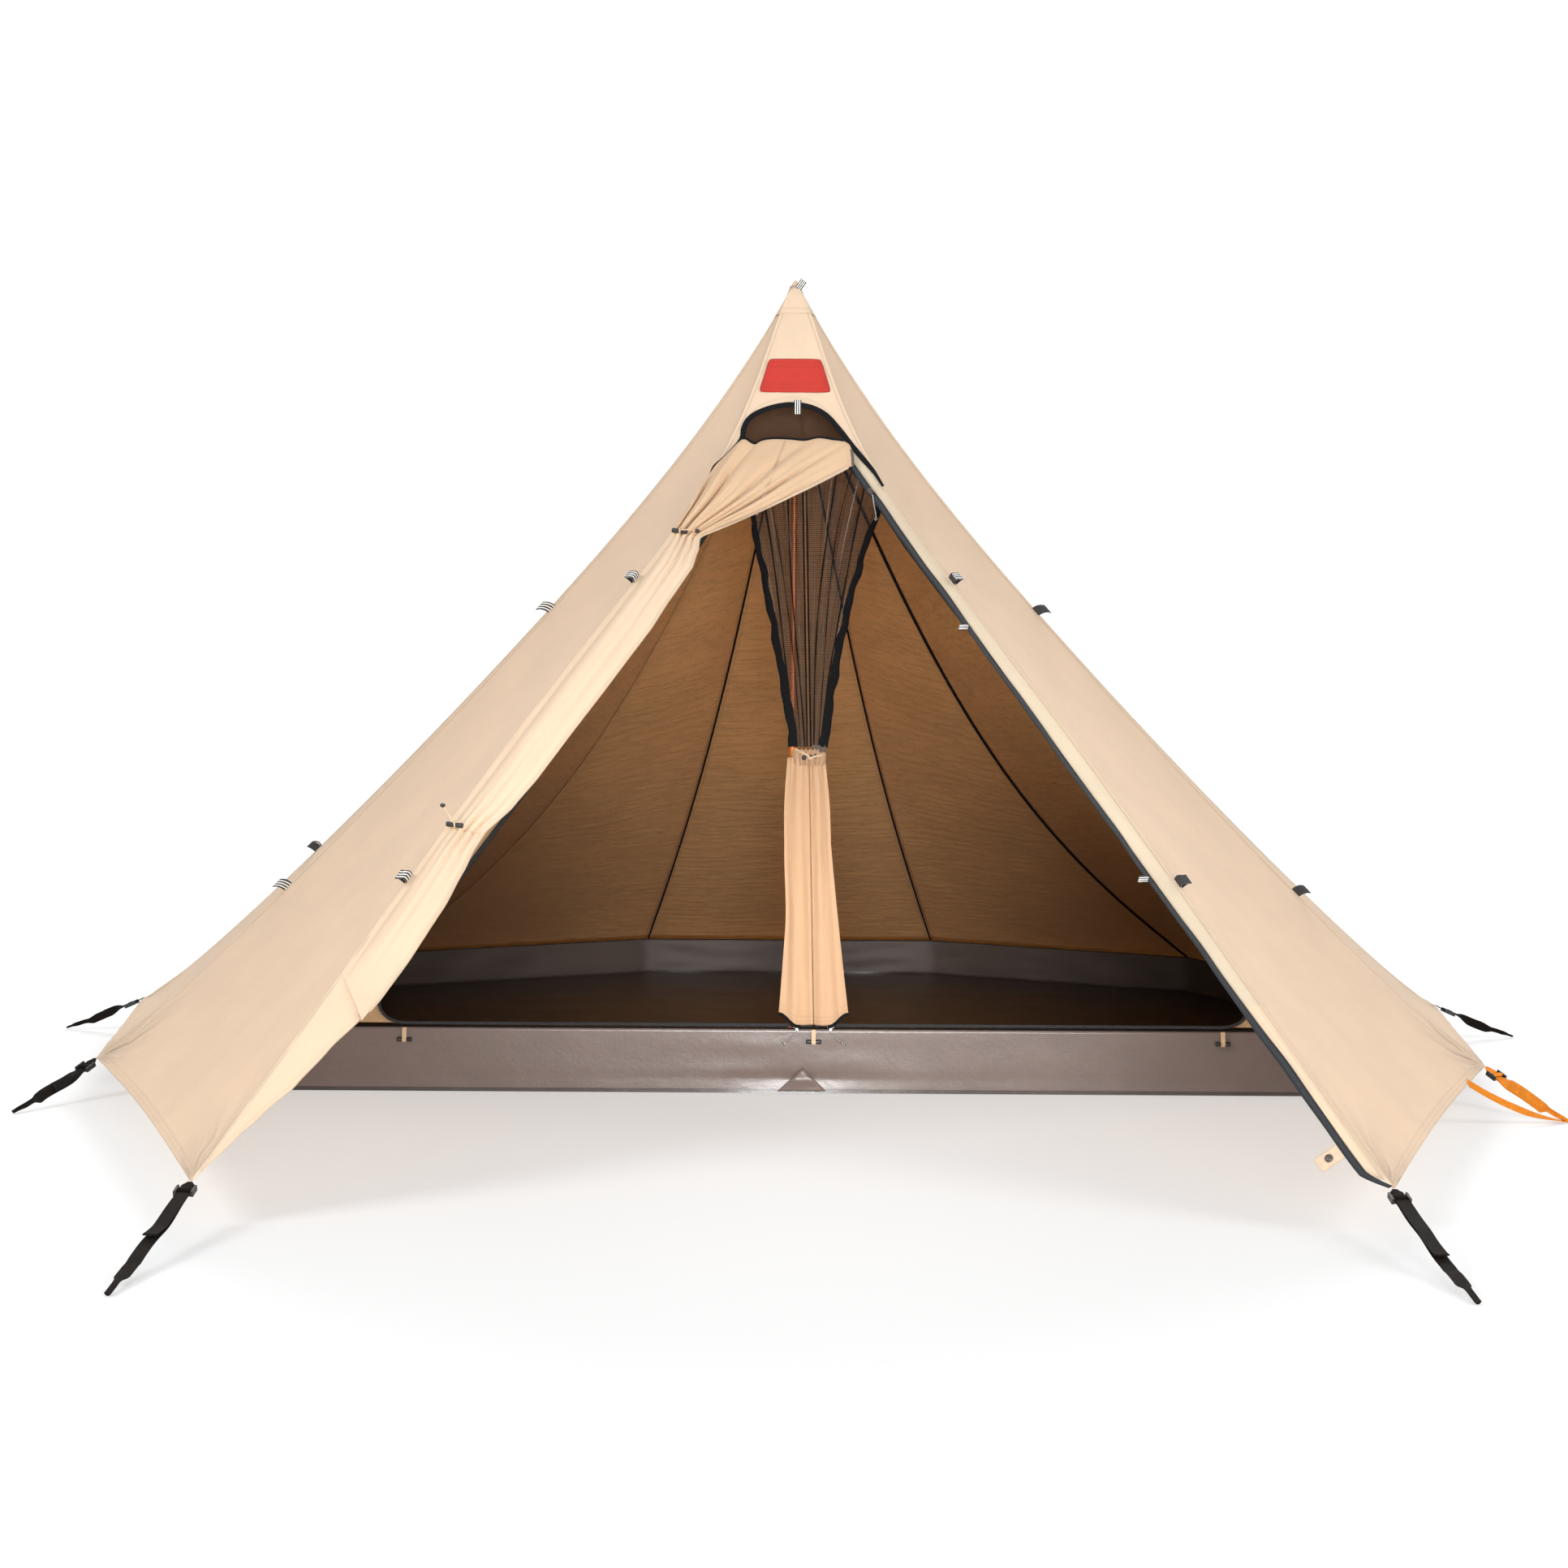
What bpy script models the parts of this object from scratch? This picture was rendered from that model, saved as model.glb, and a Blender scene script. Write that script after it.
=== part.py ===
"""Single-pole tipi tent: a sand cotton outer tent over a half inner tent.

Metres, +Z up. The origin is on the ground at the foot of the pole, the door faces -Y.
Every panel is a lofted sheet between two sagging seams, thickened into a closed body.
"""
import bpy
import bmesh
from math import atan2, cos, exp, hypot, pi, radians, sin, sqrt
from mathutils import Matrix, Vector

# Outer tent: height, corner plan (right half, mirrored to the left) and hem
APEX_HEIGHT = 1.75
APEX_RING = 0.010
CORNER_HEIGHT = 0.083
FRONT_CORNER_X = 1.015
FRONT_CORNER_Y = -1.46
MID_CORNER_X = 1.49
MID_CORNER_Y = -0.14
SIDE_CORNER_X = 1.60
SIDE_CORNER_Y = 0.82
REAR_CORNER_X = 1.186
REAR_CORNER_Y = 1.77
BACK_CORNER_X = 0.439
BACK_CORNER_Y = 2.157
CLOTH = 0.0015
CAP_PEAK = 0.012
CAP_SPREAD = 1.15
CAP_LIFT = 0.95
SEAM_GAP = 0.0004
TOUCH_GAP = 0.0003
HEM_RISE = 0.012
HEM_HOLD = 0.7
PANEL_SAG = 0.030

# How far each seam bows in: along its length, and extra near the neck
SEAM_BOW_FRONT = 0.025
SEAM_BOW_MID = 0.075
SEAM_BOW_SIDE = 0.088
NECK_BOW_FRONT = 0.085
NECK_BOW = 0.017
NECK_PLACE = 0.22

# Door opening in the front: vent arch, placket strip and zip
ARCH_DROP = 0.265
ARCH_SPREAD = 0.40
STUB_WIDTH = 0.012
PLACKET_TOP = 0.032
PLACKET_FOOT = 0.026
STUB_DROP = 0.44
ZIP_FOOT_HEIGHT = 0.112
ZIP_WIDTH = 0.016
ZIP_THICK = 0.0022
ZIP_LAP = 0.003
SLANT_ALLOWANCE = 1.6

# Outer door, rolled to the left: lip, ties and bundle
LIP_DROP = 0.345
LIP_LEFT = 0.117
LIP_RIGHT = 0.106
LIP_LIFT = 0.014
LIP_SAG = 0.006
TIE_1_DROP = 0.545
TIE_2_DROP = 1.105
DOOR_END_HEIGHT = 0.110
BUNDLE_WIDTH = 0.105
BUNDLE_BULGE = 0.030
FOLD_DEPTH = 0.010
DOOR_FOLDS = 4
DOOR_SEAM_GAP = 0.0012

# Inner tent
INNER_INSET = 0.145
INNER_DROP = 0.15
FRONT_WALL_Y = -0.05
FRONT_WALL_HEIGHT = 0.143
BACK_WALL_HEIGHT = 0.098
TUB_CLOTH = 0.0018
INNER_BOW_FRONT = 0.09
INNER_BOW_SIDE = 0.15
INNER_BOW_REAR = 0.185
INNER_BOW_BACK = 0.105
INNER_SAG = 0.012
OPENING_TOP_DROP = 0.19
OPENING_CORNER_X = 1.01
OPENING_TOP_X = 0.02
OPENING_LEAN = 0.0236
OPENING_CORNER_RADIUS = 0.09
OPENING_SILL = 0.008
INNER_ZIP_WIDTH = 0.012
INNER_TIE_HEIGHT = 0.735
GATHER_CORNER_RISE = 0.026
GATHER_TIE_WIDTH = 0.072
GATHER_FOOT_WIDTH = 0.160
MESH_TOP_WIDTH = 0.285
GATHER_FOLD = 0.006
INNER_DOOR_FOLDS = 2
DOOR_TOP_GAP = 0.03

# Pole
POLE_RADIUS = 0.008
POLE_WALL = 0.0012
POLE_SECTIONS = 3
FERRULE_LENGTH = 0.10
FOOT_HEIGHT = 0.035
FOOT_RADIUS = 0.014
TIP_HEIGHT = 0.045
TIP_NOSE = 0.003

# Corner straps: where each one ends, from its corner
WEBBING_WIDTH = 0.025
WEBBING_THICK = 0.0016
PEG_LOOP_WIDTH = 0.011
PEG_LOOP_LENGTH = 0.055
BUCKLE_PLACE = 0.020
BUCKLE_LENGTH = 0.028
BUCKLE_BAR = 0.0035
STRAP_FRONT_X = 0.03
STRAP_FRONT_Y = -0.47
STRAP_MID_X = 0.12
STRAP_MID_Y = -0.22
STRAP_SIDE_X = 0.20
STRAP_SIDE_Y = 0.02
STRAP_REAR_X = 0.12
STRAP_REAR_Y = 0.17
STRAP_BACK_X = 0.05
STRAP_BACK_Y = 0.21
STRAP_LIFT = 0.0006
STRAP_SEAT = 0.0010
MID_STRAP_SEAT = 0.0018

# Small hardware
TOGGLE_LENGTH = 0.034
TOGGLE_RADIUS = 0.0052
TOGGLE_WAIST = 0.0042
TOGGLE_NECK = 0.003
TOGGLE_GAP = 0.0004
TOGGLE_SWING = 15
WALL_TOGGLE_DROP = 0.028
WALL_TOGGLE_SPREAD = 0.89
SLIDER_LENGTH = 0.014
SLIDER_WIDTH = 0.010
SLIDER_DEPTH = 0.006
SLIDER_BRIDGE = 0.003
PULL_LENGTH = 0.012
SLIDER_PARK = 0.012
INNER_SLIDER_PARK = 0.0367
STUD_TAB_LENGTH = 0.046
STUD_TAB_WIDTH = 0.030
STUD_TAB_THICK = 0.002
STUD_TAB_PLACE = 1.6
STUD_RADIUS = 0.0075

# How finely the sheets are divided
PANEL_STEPS = 14
PANEL_SPANS = 6
ROW_SPACING = 1.25


def clear_scene():
    for ob in list(bpy.data.objects):
        bpy.data.objects.remove(ob)


clear_scene()
PARTS = bpy.data.collections.new("tipi_tent")
CUTTERS = bpy.data.collections.new("cutters")
bpy.context.scene.collection.children.link(PARTS)
bpy.context.scene.collection.children.link(CUTTERS)


def material(name, colour, roughness, metallic=0.0):
    mat = bpy.data.materials.new(name)
    mat.use_nodes = True
    shader = mat.node_tree.nodes["Principled BSDF"]
    shader.inputs["Base Color"].default_value = (*colour, 1.0)
    shader.inputs["Roughness"].default_value = roughness
    shader.inputs["Metallic"].default_value = metallic
    mat.diffuse_color = (*colour, 1.0)
    return mat


COTTON = material("sand_cotton", (0.76, 0.60, 0.43), 0.9)
INNER_COTTON = material("inner_cotton", (0.62, 0.46, 0.30), 0.9)
TUB_COATED = material("coated_floor", (0.055, 0.040, 0.030), 0.55)
ZIP_BLACK = material("zip_tape", (0.014, 0.013, 0.013), 0.7)
WEBBING = material("black_webbing", (0.020, 0.016, 0.014), 0.75)
WEBBING_ORANGE = material("orange_webbing", (0.80, 0.23, 0.02), 0.7)
PLASTIC = material("black_plastic", (0.015, 0.014, 0.014), 0.45)
SLIDER_WHITE = material("slider_metal", (0.72, 0.70, 0.66), 0.35, 0.6)
POLE_ORANGE = material("orange_tube", (0.80, 0.22, 0.02), 0.35, 0.3)
RUBBER = material("foot_rubber", (0.03, 0.03, 0.03), 0.8)


def add_object(name, mesh, mat, parent=None):
    mesh.name = name
    if not mesh.materials:
        mesh.materials.append(mat)
    ob = bpy.data.objects.new(name, mesh)
    PARTS.objects.link(ob)
    if parent:
        ob.parent = parent
    return ob


def mesh_of(bm):
    mesh = bpy.data.meshes.new("part")
    bm.to_mesh(mesh)
    bm.free()
    return mesh


def smooth(ob, angle=40):
    ob.data.shade_smooth()
    ob.data.set_sharp_from_angle(angle=radians(angle))
    return ob


# Sheets: a grid of points becomes a surface, and Solidify gives it the cloth's thickness
def sheet(name, rows, mat, outward, thickness=CLOTH):
    """rows of points, all of one length; the cloth grows from them towards `outward`."""
    bm = bmesh.new()
    grid = [[bm.verts.new(p) for p in row] for row in rows]
    for upper, lower in zip(grid, grid[1:]):
        for k in range(len(upper) - 1):
            bm.faces.new((upper[k], upper[k + 1], lower[k + 1], lower[k]))
    bmesh.ops.remove_doubles(bm, verts=bm.verts, dist=0.00002)
    return thicken(name, bm, mat, outward, thickness)


def thicken(name, bm, mat, outward, thickness):
    """Turns an open surface to face `outward` and thickens it that way."""
    bmesh.ops.recalc_face_normals(bm, faces=bm.faces)
    bm.normal_update()
    facing = sum(f.normal.dot(outward(f.calc_center_median())) * f.calc_area() for f in bm.faces)
    if facing < 0:
        bmesh.ops.reverse_faces(bm, faces=bm.faces)
    ob = add_object(name, mesh_of(bm), mat)
    solid = ob.modifiers.new("cloth", "SOLIDIFY")
    solid.thickness = thickness
    solid.offset = 1.0
    return smooth(ob)


def from_pole(point):
    return Vector((point.x, point.y, 0.35 * hypot(point.x, point.y)))


def to_front(point):
    return Vector((0, -1, 0))


def upward(point):
    return Vector((0, 0, 1))


def row_share(k):
    """How far down a panel its row k lies: rows are closer together near the top."""
    return (k / PANEL_STEPS) ** ROW_SPACING


# Seams: each runs from the apex to one corner and bows in towards the pole
class Seam:
    """A sagging seam from (ring, top) down to a corner, in the upright plane through the pole."""

    def __init__(self, corner, top, foot, bow, neck=0.0, ring=APEX_RING, front_plane=False, power=0.6):
        self.corner = Vector((corner[0], corner[1]))
        self.reach = self.corner.length
        self.heading = self.corner / self.reach
        self.top = top
        self.foot = foot
        self.bow = bow
        self.neck = neck
        self.ring = ring
        self.front_plane = front_plane
        self.power = power
        self.knots = [self.curve(row_share(k)) for k in range(PANEL_STEPS + 1)]

    def sag(self, t):
        if t <= 0 or t >= 1:
            return 0.0
        bulge = t / NECK_PLACE * exp(1 - t / NECK_PLACE)
        return self.bow * sin(pi * t) ** self.power + self.neck * bulge ** 2 * (1 - t ** 4)

    def curve(self, t):
        run = self.reach - self.ring
        fall = self.foot - self.top
        length = hypot(run, fall)
        sag = self.sag(t)
        radius = self.ring + run * t + sag * fall / length
        height = self.top + fall * t - sag * run / length
        radius = max(radius, self.ring)
        x = self.heading.x * radius
        y = self.heading.y * radius
        if self.front_plane:
            x = (self.corner.x / abs(self.corner.x)) * sqrt(max(radius ** 2 - y ** 2, 0.0))
            y = front_plane_y(height)
        return Vector((x, y, height))

    def at(self, t):
        """A point on the seam's facets, so that every piece along it shares the same edges."""
        place = min(max(t, 0.0), 1.0) ** (1 / ROW_SPACING) * PANEL_STEPS
        k = min(int(place), PANEL_STEPS - 1)
        start, end = row_share(k), row_share(k + 1)
        return self.knots[k].lerp(self.knots[k + 1], (t - start) / (end - start))

    def t_at_height(self, height):
        low, high = 0.0, 1.0
        for _ in range(40):
            mid = (low + high) / 2
            if self.at(mid).z > height:
                low = mid
            else:
                high = mid
        return (low + high) / 2


def mirrored(corner, side):
    return (corner[0] * side, corner[1])


FLY_PLAN = {
    "front": (FRONT_CORNER_X, FRONT_CORNER_Y),
    "mid": (MID_CORNER_X, MID_CORNER_Y),
    "side": (SIDE_CORNER_X, SIDE_CORNER_Y),
    "rear": (REAR_CORNER_X, REAR_CORNER_Y),
    "back": (BACK_CORNER_X, BACK_CORNER_Y),
}
FLY_BOW = {
    "front": (SEAM_BOW_FRONT, NECK_BOW_FRONT),
    "mid": (SEAM_BOW_MID, NECK_BOW),
    "side": (SEAM_BOW_SIDE, NECK_BOW),
    "rear": (SEAM_BOW_SIDE, NECK_BOW),
    "back": (SEAM_BOW_SIDE, NECK_BOW),
}
SIDES = {"left": -1, "right": 1}


def fly_seam(place, side):
    bow, neck = FLY_BOW[place]
    return Seam(mirrored(FLY_PLAN[place], side), APEX_HEIGHT, CORNER_HEIGHT, bow, neck)


def panel_rows(first, second, rise, sag=PANEL_SAG, hold=HEM_HOLD):
    """Points of a panel between two seams. It sags inwards, less so near its hem, which is held taut."""
    rows = []
    for i in range(PANEL_STEPS + 1):
        share = row_share(i)
        row = []
        for k in range(PANEL_SPANS + 1):
            s = k / PANEL_SPANS
            chord = (first.at(1.0) - first.at(0.0)).length
            end = 1.0 - rise / chord * sin(pi * s) ** 0.8
            t = end * share
            a = first.at(t)
            b = second.at(t)
            width = (b - a).length
            inset = min(SEAM_GAP / 2 / width, 0.4)
            place = a.lerp(b, inset + (1 - 2 * inset) * s)
            inward = Vector((-place.x, -place.y, 0)).normalized()
            row.append(place + inward * sag * width * sin(pi * s) * (1 - hold * share ** 4))
        rows.append(row)
    return rows


def make_fly_panels():
    ring = [("front", "mid"), ("mid", "side"), ("side", "rear"), ("rear", "back")]
    names = {"front": "front", "mid": "side", "side": "rear", "rear": "corner"}
    for side_name, side in SIDES.items():
        for first, second in ring:
            rows = panel_rows(fly_seam(first, side), fly_seam(second, side), HEM_RISE)
            sheet(f"fly_{side_name}_{names[first]}", rows, COTTON, from_pole)
    rows = panel_rows(fly_seam("back", -1), fly_seam("back", 1), HEM_RISE)
    sheet("fly_back", rows, COTTON, from_pole)


# Front of the outer tent: the cap over the vent arch, a short left stub and the right placket
ARCH_TOP = APEX_HEIGHT - ARCH_DROP
ZIP_HEAD_HEIGHT = APEX_HEIGHT - STUB_DROP


def placket_edge(height):
    """The placket's free edge below the arch: one straight line, so that the slider can run on it."""
    seam = fly_seam("front", 1)
    head = seam.at(seam.t_at_height(ZIP_HEAD_HEIGHT)) - Vector((PLACKET_TOP, 0, 0))
    foot = seam.at(seam.t_at_height(ZIP_FOOT_HEIGHT)) - Vector((PLACKET_FOOT, 0, 0))
    share = (ZIP_HEAD_HEIGHT - height) / (ZIP_HEAD_HEIGHT - ZIP_FOOT_HEIGHT)
    return head.lerp(foot, share)


def placket_frame():
    """Unit vectors along the zip, across its tape towards the cloth, and out of its face."""
    along = (placket_edge(ZIP_FOOT_HEIGHT) - placket_edge(ZIP_HEAD_HEIGHT)).normalized()
    across = Vector((-along.z, 0, along.x)).normalized()
    return along, across, along.cross(across)


def opening_edge(height, side):
    """Edge of the front cloth at a height: the middle above the arch, then arch, then placket."""
    seam = fly_seam("front", 1)
    outer = seam.at(seam.t_at_height(height))
    if height >= ARCH_TOP:
        return Vector((0, outer.y, height))
    if side > 0 and height <= ZIP_HEAD_HEIGHT:
        return placket_edge(height)
    arch = ARCH_SPREAD * sqrt(ARCH_TOP - height)
    strip = PLACKET_TOP if side > 0 else STUB_WIDTH
    return Vector((side * min(arch, outer.x - strip), outer.y, height))


def front_heights(lowest):
    """Heights of the front cloth's rows, close together round the arch."""
    cap = [APEX_HEIGHT - (APEX_HEIGHT - ARCH_TOP) * k / 4 for k in range(5)]
    arch = [ARCH_TOP - (ARCH_TOP - ZIP_HEAD_HEIGHT) * (k / 6) ** 2 for k in range(1, 7)]
    if lowest >= ZIP_HEAD_HEIGHT:
        return cap + arch
    leg = [ZIP_HEAD_HEIGHT - (ZIP_HEAD_HEIGHT - lowest) * k / 10 for k in range(1, 11)]
    return cap + arch + leg


def make_fly_front():
    bm = bmesh.new()
    spans = 3
    for side, lowest in ((-1, ZIP_HEAD_HEIGHT), (1, CORNER_HEIGHT + 0.012)):
        seam = fly_seam("front", side)
        rows = []
        for height in front_heights(lowest):
            outer = seam.at(seam.t_at_height(height))
            outer.x -= side * SEAM_GAP / 2
            edge = opening_edge(max(height, ZIP_FOOT_HEIGHT), side)
            edge.z = height if height < ZIP_FOOT_HEIGHT else edge.z
            if height < ZIP_FOOT_HEIGHT:
                share = (height - CORNER_HEIGHT) / (ZIP_FOOT_HEIGHT - CORNER_HEIGHT)
                edge = outer.lerp(Vector((edge.x, edge.y, height)), max(share, 0.12))
            rows.append([bm.verts.new(edge.lerp(outer, k / spans)) for k in range(spans + 1)])
        for upper, lower in zip(rows, rows[1:]):
            for k in range(spans):
                bm.faces.new((upper[k], upper[k + 1], lower[k + 1], lower[k]))
    bmesh.ops.remove_doubles(bm, verts=bm.verts, dist=0.00005)
    thicken("fly_front", bm, COTTON, to_front, CLOTH)


def make_apex_cap():
    """A sewn collar over the ten seams, closed over the pole's tip."""
    order = [("front", 1), ("mid", 1), ("side", 1), ("rear", 1), ("back", 1),
             ("back", -1), ("rear", -1), ("side", -1), ("mid", -1), ("front", -1)]
    bm = bmesh.new()
    grid = []
    for share in (0.85, 0.45, 0.0):
        row = []
        for place, side in order:
            point = fly_seam(place, side).at(row_share(1) * share)
            point += Vector((point.x, point.y, 0)).normalized() * (CLOTH + TOUCH_GAP) * CAP_SPREAD
            point.z += (CLOTH + TOUCH_GAP) * CAP_LIFT
            row.append(bm.verts.new(point))
        grid.append(row)
    for lower, upper in zip(grid, grid[1:]):
        for k in range(len(order)):
            n = (k + 1) % len(order)
            bm.faces.new((lower[k], lower[n], upper[n], upper[k]))
    peak = bm.verts.new((0, 0, APEX_HEIGHT + CAP_PEAK))
    for k in range(len(order)):
        bm.faces.new((grid[-1][k], grid[-1][(k + 1) % len(order)], peak))
    thicken("apex_cap", bm, COTTON, upward, CLOTH)


def zip_offset():
    """The tape lies on the slanted cloth, so its step forward is longer than the cloth is thick."""
    return Vector((0, -(CLOTH + TOUCH_GAP) * SLANT_ALLOWANCE, 0))


def make_outer_zip():
    """Zip tape sewn over the opening's edge: left stub, arch, then down the placket."""
    centre = []
    arch_steps = 8
    for k in range(arch_steps, 0, -1):
        centre.append(opening_edge(ARCH_TOP - (ARCH_TOP - ZIP_HEAD_HEIGHT) * (k / arch_steps) ** 2, -1))
    for k in range(arch_steps + 1):
        centre.append(opening_edge(ARCH_TOP - (ARCH_TOP - ZIP_HEAD_HEIGHT) * (k / arch_steps) ** 2, 1))
    leg_steps = 4
    for k in range(1, leg_steps + 1):
        centre.append(placket_edge(ZIP_HEAD_HEIGHT + (ZIP_FOOT_HEIGHT - ZIP_HEAD_HEIGHT) * k / leg_steps))
    rows = []
    for k, point in enumerate(centre):
        ahead = centre[min(k + 1, len(centre) - 1)] - centre[max(k - 1, 0)]
        across = Vector((-ahead.z, 0, ahead.x)).normalized()
        near = point - across * (ZIP_WIDTH - ZIP_LAP) + zip_offset()
        far = point + across * ZIP_LAP + zip_offset()
        rows.append([near, far])
    sheet("outer_zip", rows, ZIP_BLACK, to_front, ZIP_THICK)


# Outer door: one cloth from the sagging lip, gathered at two ties along the left seam
def door_stations():
    """Left edge, right edge and fold depth of the gathered door, from the lip to the corner."""
    seam = fly_seam("front", -1)

    def beside(height):
        return seam.at(seam.t_at_height(height)) + Vector((DOOR_SEAM_GAP, 0, 0))

    lip = APEX_HEIGHT - LIP_DROP
    tie_1 = APEX_HEIGHT - TIE_1_DROP
    tie_2 = APEX_HEIGHT - TIE_2_DROP
    forward = Vector((0, -1, 0))
    drop = lip - tie_1
    lip_y = beside(lip).y
    stations = [
        (Vector((-LIP_LEFT, lip_y - LIP_LIFT, lip + 0.004)),
         Vector((LIP_RIGHT, lip_y - LIP_LIFT, lip - 0.004)), 0.2),
        (beside(lip - drop * 0.22) + forward * 0.008,
         Vector((LIP_RIGHT + 0.006, lip_y - 0.052, lip - drop * 0.33)), 0.7),
        (beside(lip - drop * 0.45) + forward * 0.008,
         Vector((LIP_RIGHT * 0.34, lip_y - 0.085, lip - drop * 0.63)), 1.0),
        (beside(lip - drop * 0.70) + forward * 0.008,
         Vector((-LIP_LEFT * 0.55, lip_y - 0.105, lip - drop * 0.88)), 0.9),
    ]
    gathered = [
        (tie_1, 0.34, 0.30), (tie_1 - 0.05, 0.55, 0.8), (tie_1 - 0.13, 0.86, 1.0),
        ((tie_1 + tie_2) / 2, 1.0, 1.0), (tie_2 + 0.12, 0.80, 1.0), (tie_2, 0.30, 0.30),
        (tie_2 - 0.10, 0.72, 0.9), (tie_2 - 0.24, 0.86, 1.0), (tie_2 - 0.38, 0.70, 0.9),
        (DOOR_END_HEIGHT + 0.06, 0.45, 0.6), (DOOR_END_HEIGHT, 0.18, 0.1),
    ]
    for height, share, fold in gathered:
        left = beside(height)
        reach = BUNDLE_WIDTH * share
        stations.append((left, left + Vector((reach, -0.25 * reach, -0.10 * reach)), fold))
    return stations


DOOR_NORMAL = Vector((0, -1, 0.25)).normalized()
TIE_STATIONS = {"upper": 4, "lower": 9}


def door_point(stations, place, s):
    """A point of the gathered cloth: place counts along the stations, s runs from left to right."""
    index = min(int(place), len(stations) - 2)
    share = place - index
    here, there = stations[index], stations[index + 1]
    left, right = here[0].lerp(there[0], share), here[1].lerp(there[1], share)
    fold = here[2] * (1 - share) + there[2] * share
    width = (right - left).length
    full = min(width / BUNDLE_WIDTH, 1.0)
    bulge = BUNDLE_BULGE * min(max(place - TIE_STATIONS["upper"] + 1, 0), 1) * full * sin(pi * s)
    wave = (1 - cos(2 * pi * DOOR_FOLDS * s)) / 2
    lift = FOLD_DEPTH * fold * wave * min(full * 1.6, 1.0)
    dip = LIP_SAG * sin(pi * s) * max(1 - place, 0)
    return left.lerp(right, s) + DOOR_NORMAL * (lift + bulge) - Vector((0, 0, dip))


def make_outer_door():
    stations = door_stations()
    spans = DOOR_FOLDS * 4
    steps = 2 * (len(stations) - 1)
    grid = [[door_point(stations, i / 2, k / spans) for k in range(spans + 1)] for i in range(steps + 1)]
    sheet("outer_door", grid, COTTON, to_front)


# Inner tent
INNER_APEX = APEX_HEIGHT - INNER_DROP
INNER_RING = POLE_RADIUS + 0.0012


def front_plane_y(height):
    """The inner front leans from the pole's side at the top to the front wall at the ground."""
    share = min(max((INNER_APEX - height) / (INNER_APEX - FRONT_WALL_HEIGHT), 0.0), 1.0)
    top = -(INNER_RING + 0.002)
    return top + (FRONT_WALL_Y - top) * share


def inner_corner(place, side):
    x, y = FLY_PLAN[place]
    scale = 1 - INNER_INSET / hypot(x, y)
    if place == "mid":
        return (side * x * scale, FRONT_WALL_Y)
    return (side * x * scale, y * scale)


INNER_BOW = {
    "mid": INNER_BOW_FRONT,
    "side": INNER_BOW_SIDE,
    "rear": INNER_BOW_REAR,
    "back": INNER_BOW_BACK,
}


def wall_height(place):
    return FRONT_WALL_HEIGHT if place == "mid" else BACK_WALL_HEIGHT


def inner_seam(place, side):
    return Seam(inner_corner(place, side), INNER_APEX, wall_height(place) + TOUCH_GAP,
                INNER_BOW[place], 0.0, INNER_RING, place == "mid", 1.0)


def make_inner_panels():
    """Side walls, rear walls of two sewn cuts each, and the back wall."""
    for side_name, side in SIDES.items():
        rows = panel_rows(inner_seam("mid", side), inner_seam("side", side), 0.0, INNER_SAG, 1.0)
        sheet(f"inner_{side_name}_side", rows, INNER_COTTON, from_pole)
        first = panel_rows(inner_seam("side", side), inner_seam("rear", side), 0.0, INNER_SAG, 1.0)
        second = panel_rows(inner_seam("rear", side), inner_seam("back", side), 0.0, INNER_SAG, 1.0)
        rows = [a[:-1] + [(a[-1] + b[0]) / 2] + b[1:] for a, b in zip(first, second)]
        sheet(f"inner_{side_name}_rear", rows, INNER_COTTON, from_pole)
    rows = panel_rows(inner_seam("back", -1), inner_seam("back", 1), 0.0, INNER_SAG, 1.0)
    sheet("inner_back", rows, INNER_COTTON, from_pole)


OPENING_TOP = INNER_APEX - OPENING_TOP_DROP
SILL_HEIGHT = FRONT_WALL_HEIGHT + OPENING_SILL


def opening_line_x(height):
    """The D-shaped opening's slanted edge: straight from the top to its rounded lower corner."""
    share = (OPENING_TOP - height) / (OPENING_TOP - SILL_HEIGHT)
    return OPENING_CORNER_X * share


def opening_side_x(height):
    """The same edge with the lower corner rounded in towards the middle."""
    x = opening_line_x(height)
    rise = (height - SILL_HEIGHT) / OPENING_CORNER_RADIUS
    if rise < 1:
        x -= OPENING_CORNER_RADIUS * (1 - sqrt(max(1 - (1 - rise) ** 2, 0.0)))
    return x


def doorway_middle(height):
    """Middle of the doorways at a height: it leans a little to the right on its way down."""
    if height > OPENING_TOP:
        return OPENING_TOP_X * (INNER_APEX - height) / OPENING_TOP_DROP
    return OPENING_TOP_X + OPENING_LEAN * (OPENING_TOP - height)


def make_inner_fronts():
    """The cloth left and right of the doorways, meeting over their top."""
    for side_name, side in SIDES.items():
        seam = inner_seam("mid", side)
        heights = [INNER_APEX - OPENING_TOP_DROP * k / 4 for k in range(5)]
        steps = 9
        low = SILL_HEIGHT + OPENING_CORNER_RADIUS
        heights += [OPENING_TOP - (OPENING_TOP - low) * k / steps for k in range(1, steps + 1)]
        heights += [SILL_HEIGHT + OPENING_CORNER_RADIUS * f for f in (0.55, 0.25, 0.07, 0.0)]
        rows = []
        for height in heights:
            outer = seam.at(seam.t_at_height(height))
            inner_x = SEAM_GAP / 2 if height >= OPENING_TOP else max(opening_side_x(height), SEAM_GAP / 2)
            outer.x -= side * SEAM_GAP / 2
            edge = Vector((doorway_middle(height) + side * inner_x, front_plane_y(height), height))
            if side * (outer.x - edge.x) < 0.004:
                outer.x = edge.x + side * 0.004
            outer.y = edge.y
            rows.append([edge.lerp(outer, k / 4) for k in range(5)])
        sheet(f"inner_front_{side_name}", rows, INNER_COTTON, to_front)


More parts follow.
